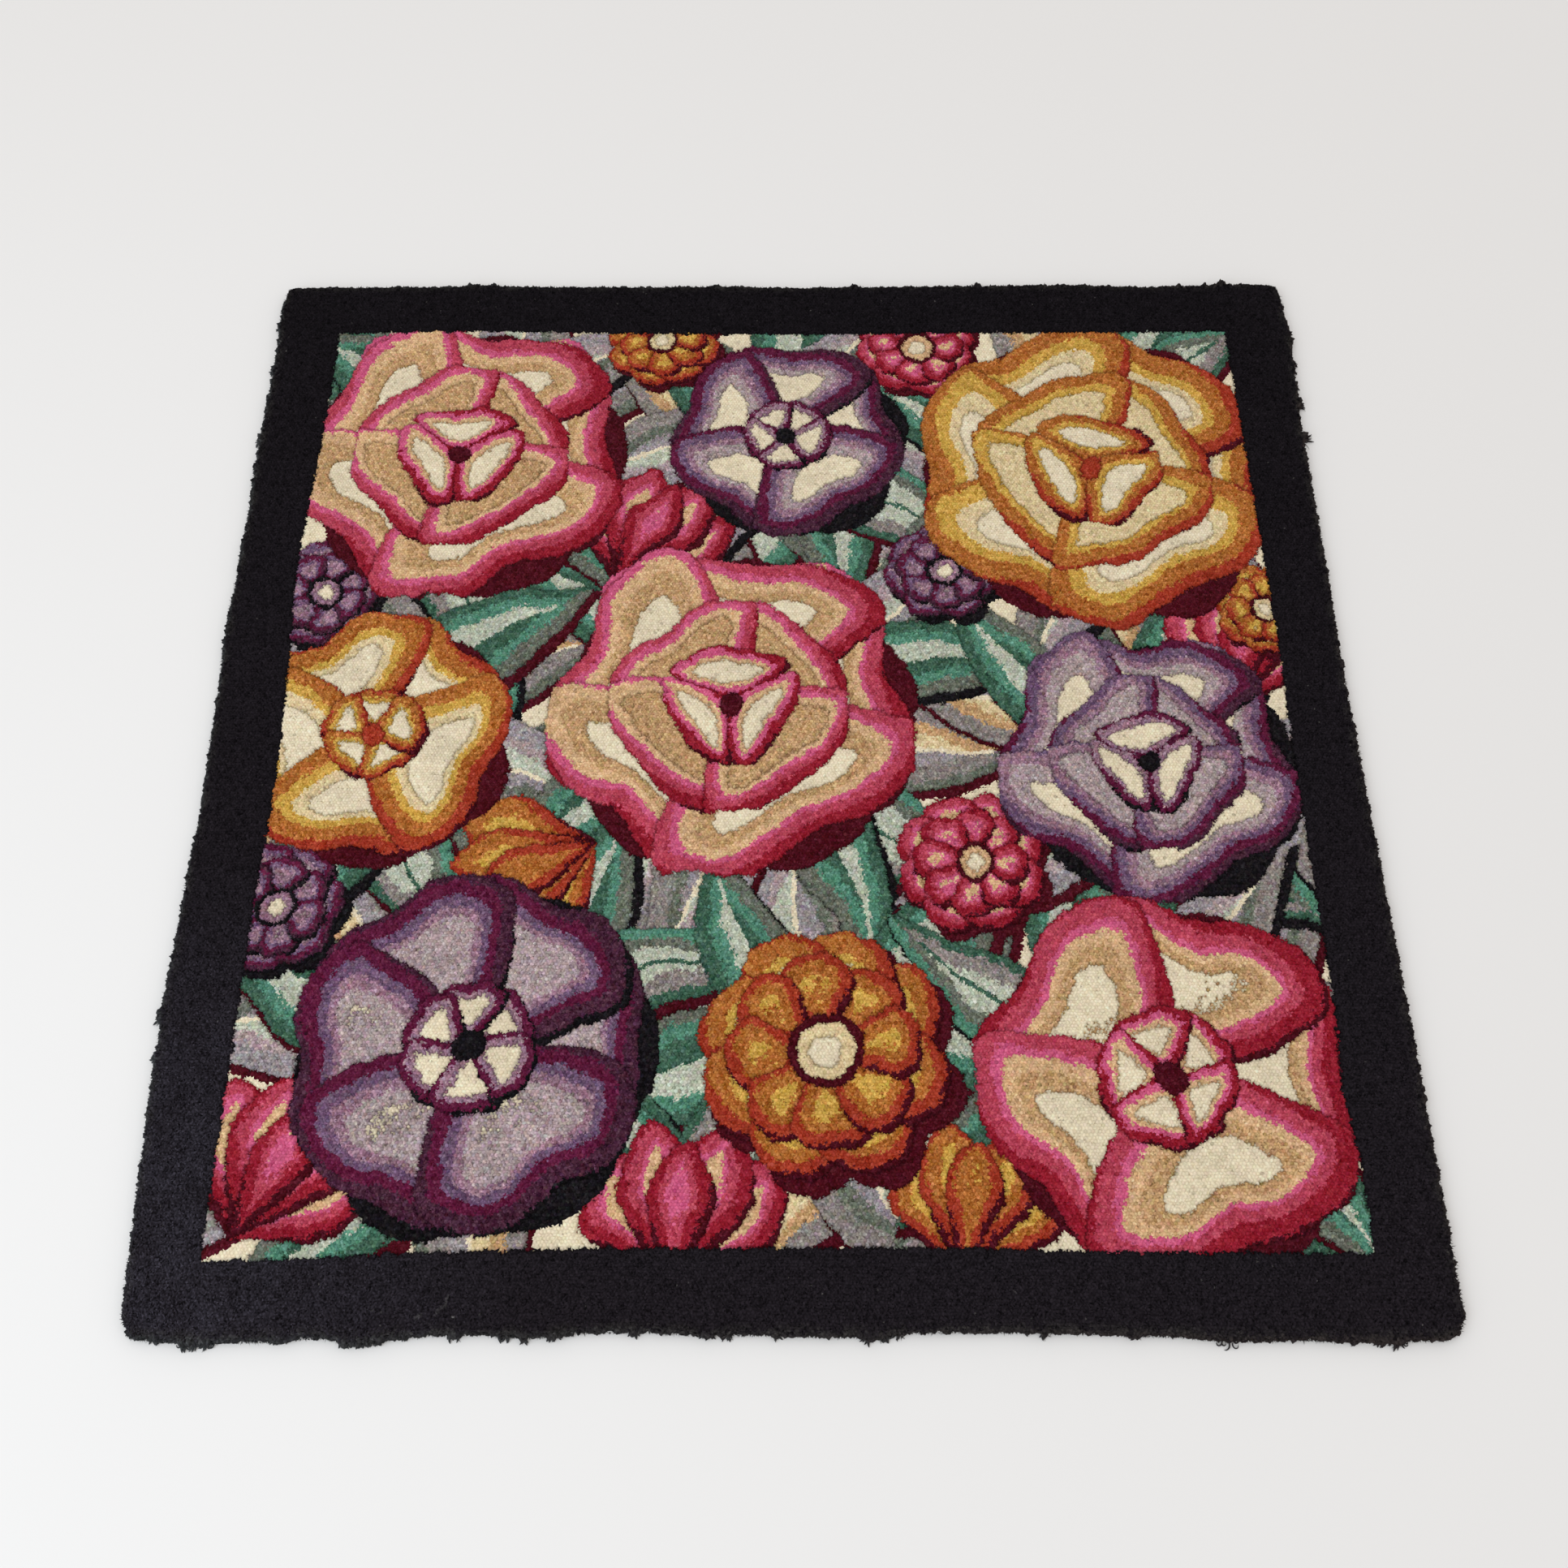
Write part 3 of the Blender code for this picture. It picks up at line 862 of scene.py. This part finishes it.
# The depth value sets the wool's painted shade: darker in valleys, more in pits and grooves.
depth = np.where(is_pit, 1.7, np.where(is_valley, 1.0, 0.0))
depth = np.where(in_groove, np.where(is_valley, 2.1, 1.2), depth)
print("pits:", int(is_pit.sum()))

# %% Laying the pile down
LOWEST = 0.4 * MM

plane_x, plane_y = np.moveaxis(tops, -1, 0)
lie_x, lie_y = outlined(rolled(plane_x), rolled(plane_y))
lie_z = PILE_TOP + flower_lift(plane_x / MM, plane_y / MM) - dropped(plane_x, plane_y)
lie = np.stack([lie_x, lie_y, lie_z], axis=-1)
outward = np.cross(np.roll(lie, -1, 1) - np.roll(lie, 1, 1), np.roll(lie, -1, 0) - np.roll(lie, 1, 0))
outward[:, 0], outward[:, -1] = outward[:, 1], outward[:, -2]
outward[0], outward[-1] = outward[1], outward[-2]
outward /= np.maximum(np.linalg.norm(outward, axis=-1, keepdims=True), 1e-12)
points = with_valleys(lie) + with_valleys(outward) * stand[:, None]
points[:, 2] = np.maximum(points[:, 2], LOWEST)
print("points from", (points.min(axis=0) / MM).round(1), "to", (points.max(axis=0) / MM).round(1), "mm")

# %% [markdown]
# ## Shader maths
#
# Materials are written as expressions. One small class wraps a socket, so that a sum or a product of sockets
# adds its Math node, and one method makes any other node with its settings and inputs.

# %% A small language for shader nodes
class Socket:
    """A shader socket, or a material's tree, whose sums and products add Math nodes."""

    def __init__(self, tree, output=None):
        self.tree = tree
        self.output = output

    def node(self, kind, settings=None, output=0, **inputs):
        """Any node: its type, its settings, then the values or links of its sockets by name or by index."""
        made = self.tree.nodes.new(kind)
        for name, value in (settings or {}).items():
            setattr(made, name, value)
        for name, value in inputs.items():
            key = int(name[1:]) if name[1:].isdigit() else name
            if isinstance(value, Socket):
                self.tree.links.new(value.output, made.inputs[key])
            else:
                made.inputs[key].default_value = value
        return Socket(self.tree, made.outputs[output])

    def into(self, shader, name):
        """Links this socket to an input of the shader."""
        self.tree.links.new(self.output, shader.inputs[name])

    def maths(self, operation, first, second=0.0):
        return self.node("ShaderNodeMath", {"operation": operation}, i0=first, i1=second)

    def __add__(self, other):
        return self.maths("ADD", self, other)

    def __rsub__(self, other):
        return self.maths("SUBTRACT", other, self)

    def __mul__(self, other):
        return self.maths("MULTIPLY", self, other)

    __radd__ = __add__
    __rmul__ = __mul__

    def sine(self):
        return self.maths("SINE", self)

    def noise(self, where, scale, detail):
        """Noise with this many grains per metre."""
        return self.node("ShaderNodeTexNoise", None, "Fac", Vector=where, Scale=scale, Detail=detail)

    def dimmed(self, colour, amount):
        """A colour times a grey value."""
        grey = self.node("ShaderNodeCombineXYZ", i0=amount, i1=amount, i2=amount)
        return self.node("ShaderNodeVectorMath", {"operation": "MULTIPLY"}, i0=colour, i1=grey)


def new_material(name, roughness, sheen, sheen_tint):
    """A matt material with a soft sheen, its shader node, and a Socket to build on."""
    material = bpy.data.materials.new(name)
    material.use_nodes = True
    shader = material.node_tree.nodes["Principled BSDF"]
    shader.inputs["Roughness"].default_value = roughness
    shader.inputs["Sheen Weight"].default_value = sheen
    shader.inputs["Sheen Roughness"].default_value = 0.5
    shader.inputs["Sheen Tint"].default_value = (*sheen_tint, 1)
    shader.inputs["Specular IOR Level"].default_value = 0.04
    return material, shader, Socket(material.node_tree)


# %% [markdown]
# ## Wool
#
# Cut wool is matt, with fine specks of fibre inside each tuft and a faint pale bloom at a low angle. The
# colour comes from the mesh, one value a triangle, so the drawing stays as sharp as the tufts are. The depth
# value, 0 on a tuft's top, 1 in a valley and 2 in a groove, darkens what lies deep: painted shade, on top of
# the shade of the real dips. Bump adds fibre ends.

# %% The wool material
def wool_material(name, sheen, depth_shade):
    """Cut wool: tuft colour, times fibre specks, times painted shade that deepens with depth."""
    material, shader, s = new_material(name, 0.92, sheen, (0.9, 0.86, 0.82))
    where = s.node("ShaderNodeTexCoord", None, "Object")
    colour = s.node("ShaderNodeAttribute", {"attribute_name": "wool_colour"}, "Color")
    depth = s.node("ShaderNodeAttribute", {"attribute_name": "depth"}, "Fac")
    fibre = s.noise(where, 950.0, 3.0)
    clump = s.noise(where, 260.0, 2.0)
    # Painted shade: the colour darkens with the depth value, most in grooves and pits.
    tone = (0.80 + 0.28 * fibre + 0.16 * clump) * (1.0 - depth_shade * depth)
    s.dimmed(colour, tone).into(shader, "Base Color")
    height = fibre + 0.8 * clump
    s.node("ShaderNodeBump", None, Height=height, Strength=0.55, Distance=0.0006).into(shader, "Normal")
    return material


FIELD_WOOL = wool_material("field_wool", 0.04, 0.24)
BORDER_WOOL = wool_material("border_wool", 0.0, 0.28)
print("materials:", FIELD_WOOL.name, BORDER_WOOL.name)

# %% [markdown]
# ## The pile as meshes
#
# One mesh of the whole pile would be too big to share and its colour map too coarse. So it is cut where no
# one can see: the border into four strips, the field into nine panels. Each tuft shades smoothly inside and
# breaks sharply at its valleys. Each mesh carries a flat map of itself from the unfolded plane, where a
# border strip is cut into four rows, so that the map isn't one thin line.

# %% The flat map of one piece
MAP_ROWS = 4
MAP_MARGIN = 0.02
CORNERS_PER_TUFT = 18


def spread_out(values):
    """Values moved and scaled to run from 0 to 1, with a small margin at both ends."""
    share = (values - values.min()) / (values.max() - values.min())
    return share * (1 - 2 * MAP_MARGIN) + MAP_MARGIN


def flat_map(corner_points, fold):
    """Map places of a piece's corners on the unfolded plane, a strip being cut in rows stacked up the map."""
    u, v = flat_points[corner_points].T
    if fold == "upright":
        u, v = v, u
    if fold == "whole":
        return np.stack([spread_out(u), spread_out(v)], axis=-1)
    length = (u.max() - u.min()) / MAP_ROWS
    middle_u = u.reshape(-1, CORNERS_PER_TUFT).mean(axis=1)
    map_row = np.clip(((middle_u - u.min()) / length).astype(int), 0, MAP_ROWS - 1).repeat(CORNERS_PER_TUFT)
    return np.stack([spread_out(u - map_row * length), (spread_out(v) + map_row) / MAP_ROWS], axis=-1)


# %% Making one piece
def triangle_mesh(name, co, faces):
    """A mesh from whole arrays of points and three-cornered faces."""
    mesh = bpy.data.meshes.new(name)
    mesh.vertices.add(len(co))
    mesh.vertices.foreach_set("co", co.astype(np.float32).ravel())
    mesh.loops.add(faces.size)
    mesh.loops.foreach_set("vertex_index", faces.astype(np.int32).ravel())
    mesh.polygons.add(len(faces))
    mesh.polygons.foreach_set("loop_start", np.arange(0, faces.size, 3, dtype=np.int32))
    mesh.update(calc_edges=True)
    return mesh


def wool_values(mesh, colours, depths):
    """Gives a mesh the two values that the wool material reads: a colour a face, and a depth a point, which
    sets the painted shade.
    """
    rgba = np.ones((len(colours), 4), np.float32)
    rgba[:, :3] = colours
    mesh.attributes.new("wool_colour", "FLOAT_COLOR", "FACE").data.foreach_set("color", rgba.ravel())
    mesh.attributes.new("depth", "FLOAT", "POINT").data.foreach_set("value", depths.astype(np.float32))


def placed(name, data):
    """A mesh, a lamp or a camera as an object in the scene."""
    made = bpy.data.objects.new(name, data)
    bpy.context.scene.collection.objects.link(made)
    return made


def piece_of(name, mesh, material):
    """The mesh as an object at the origin that rides with the rug."""
    mesh.materials.append(material)
    piece = placed(name, mesh)
    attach(piece, "root")
    return piece


def pile_piece(name, chosen, material, fold):
    """The chosen tufts as one mesh, with its colours, depths, map and sharp valley edges."""
    faces = tufts[chosen].reshape(-1, 3)
    used_points, local = np.unique(faces, return_inverse=True)
    mesh = triangle_mesh(name, points[used_points], local.reshape(-1, 3))
    wool_values(mesh, wool[chosen].reshape(-1, 3), depth[used_points])
    uv = flat_map(faces.ravel(), fold)
    mesh.uv_layers.new(name="OFBake").data.foreach_set("uv", uv.astype(np.float32).ravel())
    ends = np.empty(len(mesh.edges) * 2, np.int32)
    mesh.edges.foreach_get("vertices", ends)
    both_in_valley = is_valley[used_points[ends.reshape(-1, 2)]].all(axis=1)
    mesh.attributes.new("sharp_edge", "BOOLEAN", "EDGE").data.foreach_set("value", both_in_valley)
    return piece_of(name, mesh, material)


# %% The border's four strips and the field's nine panels
STRIP = 92 * MM

tuft_x, tuft_y = tuft_place.T
is_near = ~tuft_in_field & (tuft_y < STRIP - HALF_SIDE)
is_far = ~tuft_in_field & (tuft_y > HALF_SIDE - STRIP)
is_side = ~tuft_in_field & ~is_near & ~is_far
pile = [
    pile_piece("border_near", is_near, BORDER_WOOL, "level"),
    pile_piece("border_far", is_far, BORDER_WOOL, "level"),
    pile_piece("border_left", is_side & (tuft_x < 0), BORDER_WOOL, "upright"),
    pile_piece("border_right", is_side & (tuft_x > 0), BORDER_WOOL, "upright"),
]
panel_side = 2 * (HALF_SIDE - BORDER["left"]) / 3
panel_column = np.clip(np.round(tuft_x / panel_side), -1, 1)
panel_row = np.clip(np.round(tuft_y / panel_side), -1, 1)
for step_y, row_name in ((-1, "near"), (0, "middle"), (1, "far")):
    for step_x, column_name in ((-1, "left"), (0, "centre"), (1, "right")):
        chosen = tuft_in_field & (panel_column == step_x) & (panel_row == step_y)
        pile.append(pile_piece("field_" + row_name + "_" + column_name, chosen, FIELD_WOOL, "whole"))
for piece in pile:
    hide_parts("tufted_rug")
print(len(pile), "pieces of pile,", sum(len(piece.data.polygons) for piece in pile), "triangles")

# %% [markdown]
# ## The base cloth
#
# Under the pile lies the cloth that holds it, a plain weave about a millimetre thick. None of it shows from
# above, but from below it is the whole rug. It is a grid laid inside the same wandering rim, drawn in with it
# too, and a Solidify modifier gives it its thickness.

# %% A thin woven sheet
CLOTH_THICKNESS = 1.0 * MM
CLOTH_INSET = 4.5 * MM
CLOTH_LIFT = 0.2 * MM
CLOTH_CELLS = 60
CLOTH_COLOUR = (0.40, 0.34, 0.25, 1)
THREAD_GAP = 2.2 * MM


def grid_faces(across, along):
    """Two triangles for each cell of a grid of points."""
    number = np.arange(across * along).reshape(along, across)
    a, b, c, d = number[:-1, :-1], number[:-1, 1:], number[1:, 1:], number[1:, :-1]
    return np.concatenate([np.stack([a, b, c], -1).reshape(-1, 3), np.stack([a, c, d], -1).reshape(-1, 3)])


steps = np.linspace(-1, 1, CLOTH_CELLS + 1) * (HALF_SIDE - CLOTH_INSET)
sheet_x, sheet_y = np.meshgrid(steps, steps)
cloth_x, cloth_y = outlined(sheet_x, sheet_y)
for side, (out_x, out_y) in SIDE_WAYS.items():
    from_end = HALF_SIDE + (sheet_x if out_y else -sheet_y)
    from_side = HALF_SIDE - out_x * sheet_x - out_y * sheet_y
    inward = drawn_in(side, from_end) * np.clip(1 - from_side / (2 * STRIP), 0, 1)
    cloth_x = cloth_x - out_x * inward
    cloth_y = cloth_y - out_y * inward
cloth_co = np.stack([cloth_x, cloth_y, np.full_like(cloth_x, CLOTH_LIFT)], axis=-1).reshape(-1, 3)

material, shader, s = new_material("base_cloth", 0.9, 0.1, (1, 1, 1))
where = s.node("ShaderNodeTexCoord", None, "Object")
split = s.node("ShaderNodeSeparateXYZ", i0=where)
beat = 2 * math.pi / THREAD_GAP
weft = (Socket(s.tree, split.output.node.outputs["X"]) * beat).sine()
warp = (Socket(s.tree, split.output.node.outputs["Y"]) * beat).sine()
threads = weft * warp
mottle = s.noise(where, 40.0, 3.0)
tint = s.node("ShaderNodeRGB")
tint.output.default_value = CLOTH_COLOUR
s.dimmed(tint, 0.72 + 0.4 * mottle + 0.08 * threads).into(shader, "Base Color")
s.node("ShaderNodeBump", None, Height=threads, Strength=0.6, Distance=0.0004).into(shader, "Normal")

cloth_mesh = triangle_mesh("base_cloth", cloth_co, grid_faces(len(steps), len(steps)))
cloth = piece_of("base_cloth", cloth_mesh, material)
thicken = cloth.modifiers.new("thickness", "SOLIDIFY")
thicken.thickness = CLOTH_THICKNESS
thicken.offset = 1
print("base cloth:", len(cloth.data.polygons), "triangles")

# %% [markdown]
# ## Frayed yarns
#
# At each frayed place, short thick yarn ends hang out of the lump side by side, with finer hairs among them
# and a curled single here and there. Each is a five-sided tube along a bent line that starts in the side of
# the pile, sinks to the floor and tapers. All are worked out at once: one array axis for the yarn, one for
# the place along it, one for its corners.

# %% Many yarns at once
YARN_STEPS = 8
YARN_SIDES = 5


def rim_places(side, along):
    """Points of a side's rim, from places along it in metres, counted as for the frays."""
    out_x, out_y = SIDE_WAYS[side]
    if out_y:
        x, y = outlined(along - HALF_SIDE, np.full_like(along, out_y * HALF_SIDE))
    else:
        x, y = outlined(np.full_like(along, out_x * HALF_SIDE), HALF_SIDE - along)
    inward = drawn_in(side, along)
    return x - out_x * inward, y - out_y * inward


def loose_yarns(start, heading, length, curl, radius):
    """Tubes along bent lines: the heading turns by curl on the way, and the height eases from the start's to
    the floor. The radius is full to the middle and closes at the tip. Returns all points and faces."""
    share = np.linspace(0, 1, YARN_STEPS)
    turn = heading[:, None] + curl[:, None] * share**1.5
    step = length[:, None] / (YARN_STEPS - 1)
    line_x = start[:, 0, None] + np.cumsum(np.cos(turn) * step, axis=1)
    line_y = start[:, 1, None] + np.cumsum(np.sin(turn) * step, axis=1)
    line_z = start[:, 2, None] * (1 - share) ** 1.6 + radius[:, None]
    line = np.stack([line_x, line_y, line_z], axis=-1)
    thick = radius[:, None] * (1 - 0.85 * share**4)
    corner = np.arange(YARN_SIDES) * 2 * math.pi / YARN_SIDES
    sideways = np.stack([-np.sin(turn), np.cos(turn), np.zeros_like(turn)], axis=-1)
    upward = np.array([0, 0, 1])
    round_it = sideways[:, :, None] * np.cos(corner)[:, None] + upward * np.sin(corner)[:, None]
    co = line[:, :, None] + round_it * thick[:, :, None, None]
    number = np.arange(co[..., 0].size).reshape(co.shape[:-1])
    a, b = number[:, :-1], number[:, 1:]
    a_next, b_next = np.roll(a, -1, -1), np.roll(b, -1, -1)
    walls = [np.stack([a, a_next, b_next], -1), np.stack([a, b_next, b], -1)]
    fan = np.stack([number[:, -1, [0] * 3], number[:, -1, 1:4], number[:, -1, 2:5]], axis=-1)
    return co.reshape(-1, 3), np.concatenate([part.reshape(-1, 3) for part in (*walls, fan)])


def fray_starts(fray, number, own):
    """Random starts in the pile's side within one frayed place, and the way straight out."""
    along = (fray.along + own.uniform(-0.5, 0.5, number) * fray.width) * MM
    x, y = rim_places(fray.side, along)
    out_x, out_y = SIDE_WAYS[fray.side]
    inward = own.uniform(1.0, 3.0, number) * MM
    height = own.uniform(1.0, 6.5, number) * MM
    return np.stack([x - out_x * inward, y - out_y * inward, height], axis=-1), math.atan2(out_y, out_x)


# %% Thick ends, fine hairs and single curls
CURLS = frays(
    near=((52, 4, 6), (79, 6, 9), (110, 5, 11), (806, 20, 9), (1156, 14, 10), (1290, 6, 7), (1336, 7, 9)),
    right=((82, 5, 8), (100, 4, 9), (259, 6, 14)),
)
Bunch = namedtuple("Bunch", "frays spacing wander bend radius")
BUNCHES = (
    Bunch(FRAYS, 1.6, 0.35, 0.7, 1.35),
    Bunch(FRAYS, 4.0, 0.50, 0.9, 0.35),
    Bunch(CURLS, 3.0, 0.50, 3.6, 0.80),
)

fray_chance = np.random.default_rng(21)
made = []
for bunch in BUNCHES:
    for fray in bunch.frays:
        number = int(fray.width / bunch.spacing) + 1
        start, way = fray_starts(fray, number, fray_chance)
        heading = way + fray_chance.normal(0, bunch.wander, number)
        length = (fray.reach * fray_chance.uniform(0.6, 1.15, number) + 2) * MM
        curl = bunch.bend * fray_chance.choice((-1, 1), number) * fray_chance.uniform(0.6, 1.2, number)
        radius = bunch.radius * fray_chance.uniform(0.75, 1.15, number) * MM
        made.append((start, heading, length, curl, radius))
yarn_co, yarn_faces = loose_yarns(*map(np.concatenate, zip(*made)))
print(len(yarn_faces), "triangles of yarn, out to", (yarn_co[:, 1].min() / MM).round(1), "mm near")

# %% [markdown]
# ## Fuzz
#
# All round the rim, cut ends of fibre stand out one or two millimetres, so the outline looks soft rather than
# cut with a knife. Each is a spike of three faces, and they gather in clumps, as tufts do.

# %% A fringe of fine ends
FUZZ_COUNT = 9000
CLUMP_GAP = 4.0
LONGEST = 3.5
HIGH_FOOT = 6 * MM

fuzz_chance = np.random.default_rng(33)
side_pick = fuzz_chance.integers(0, 4, FUZZ_COUNT)
clump = np.round(fuzz_chance.uniform(3, 1397, FUZZ_COUNT) / CLUMP_GAP) * CLUMP_GAP
fuzz_along = np.clip(clump + fuzz_chance.normal(0, 0.8, FUZZ_COUNT), 2, 1398) * MM
foot = np.zeros((FUZZ_COUNT, 3))
side_way = np.zeros(FUZZ_COUNT)
for index, (side, (out_x, out_y)) in enumerate(SIDE_WAYS.items()):
    chosen = side_pick == index
    foot[chosen, 0], foot[chosen, 1] = rim_places(side, fuzz_along[chosen])
    side_way[chosen] = math.atan2(out_y, out_x)
foot[:, 2] = fuzz_chance.uniform(0.8, 9.5, FUZZ_COUNT) * MM
inward = np.where(foot[:, 2] > HIGH_FOOT, 2.2, 1.0) * MM
foot[:, 0] -= np.cos(side_way) * inward
foot[:, 1] -= np.sin(side_way) * inward
way = side_way + fuzz_chance.normal(0, 0.55, FUZZ_COUNT)
climb = fuzz_chance.uniform(-0.5, 0.4, FUZZ_COUNT)
reach = inward + np.minimum(fuzz_chance.gamma(2.2, 0.42, FUZZ_COUNT), LONGEST) * MM
tip = foot + np.stack([np.cos(way), np.sin(way), climb], axis=-1) * reach[:, None]
tip[:, 2] = np.maximum(tip[:, 2], 0.3 * MM)
sideways = np.stack([-np.sin(way), np.cos(way), np.zeros(FUZZ_COUNT)], axis=-1)
sideways = sideways * fuzz_chance.uniform(0.30, 0.65, FUZZ_COUNT)[:, None] * MM
top_of_foot = foot + np.array([0, 0, 0.8 * MM])
fuzz_co = np.stack([foot + sideways, foot - sideways, top_of_foot, tip], axis=1).reshape(-1, 3)
number = np.arange(FUZZ_COUNT * 4).reshape(-1, 4)
fuzz_faces = np.concatenate([number[:, [0, 2, 3]], number[:, [2, 1, 3]], number[:, [1, 0, 3]]])
print(len(fuzz_faces), "triangles of fuzz")

# %% Loose wool as two pieces, and a count of the pieces on the cloth
def loose_wool(name, co, faces, cool, warm):
    """Yarns or fuzz in the border's wool, worn pale and painted lighter against the shade they hang in.
    Uneven in tone, paler and cooler at the left, darker and warmer at the right.
    """
    mesh = triangle_mesh(name, co, faces)
    tone = np.random.default_rng(5).uniform(0.5, 1.4, (len(faces), 1))
    share = np.clip(0.5 + co[faces[:, 0], 0] / (2 * HALF_SIDE), 0, 1)
    wool_values(mesh, mixed(linear(cool), linear(warm), share) * tone, np.zeros(len(co)))
    return piece_of(name, mesh, BORDER_WOOL)


# The loose wool is paler than the border: worn yarn, and painted light against the shade the yarns hang in.
frayed_yarns = loose_wool("frayed_yarns", yarn_co, yarn_faces, (64, 67, 69), (50, 45, 46))
rim_fuzz = loose_wool("rim_fuzz", fuzz_co, fuzz_faces, (50, 52, 53), (46, 40, 39))
print("pieces on the cloth:", len(pile) + 2)

# %% [markdown]
# ## Floor, light and camera
#
# The rug lies on a plain pale floor under soft daylight from all sides, with one wide lamp at the near left.
# The camera stands where the photographer did: over the near edge, looking down at the middle of the rug.

# %% Floor and light
FLOOR_HALF = 6.0
DAYLIGHT = 0.825
LAMP_WIDTH = 2.5
LAMP_WATTS = 34
LAMP_PLACE = Vector((-2.1, -1.5, 2.2))

floor_mesh = bpy.data.meshes.new("floor")
floor_corners = [(x * FLOOR_HALF, y * FLOOR_HALF, 0) for x, y in ((-1, -1), (1, -1), (1, 1), (-1, 1))]
floor_mesh.from_pydata(floor_corners, [], [(0, 1, 2, 3)])
floor = placed("floor", floor_mesh)
floor_material, floor_shader, _ = new_material("pale_floor", 0.7, 0.0, (1, 1, 1))
floor_shader.inputs["Base Color"].default_value = (0.86, 0.86, 0.86, 1)
floor_mesh.materials.append(floor_material)

world = bpy.data.worlds.new("daylight")
world.use_nodes = True
world.node_tree.nodes["Background"].inputs["Color"].default_value = (1.0, 0.965, 0.935, 1)
world.node_tree.nodes["Background"].inputs["Strength"].default_value = DAYLIGHT
bpy.context.scene.world = world

lamp_data = bpy.data.lights.new("window_light", "AREA")
lamp_data.shape = "RECTANGLE"
lamp_data.size = LAMP_WIDTH
lamp_data.size_y = LAMP_WIDTH
lamp_data.energy = LAMP_WATTS
lamp_data.color = (0.80, 0.91, 1.0)
lamp = placed("window_light", lamp_data)
lamp.location = LAMP_PLACE
lamp.rotation_euler = (-LAMP_PLACE).to_track_quat("-Z", "Y").to_euler()
bpy.context.scene.view_settings.view_transform = "Standard"
print("lamp", lamp_data.energy, "W")

# %% The camera
CAMERA_PLACE = Vector((-0.001 + centre_x, -0.823 + centre_y, 1.659))
CAMERA_WAY = Vector((0.0008, 0.4135, -0.9105))

camera_data = bpy.data.cameras.new("camera")
camera_data.lens = 34.62
camera_data.sensor_width = 36
camera = placed("camera", camera_data)
camera.location = CAMERA_PLACE
camera.rotation_euler = CAMERA_WAY.to_track_quat("-Z", "Y").to_euler()
bpy.context.scene.camera = camera
print("camera", round(CAMERA_PLACE.z, 3), "m above the floor")
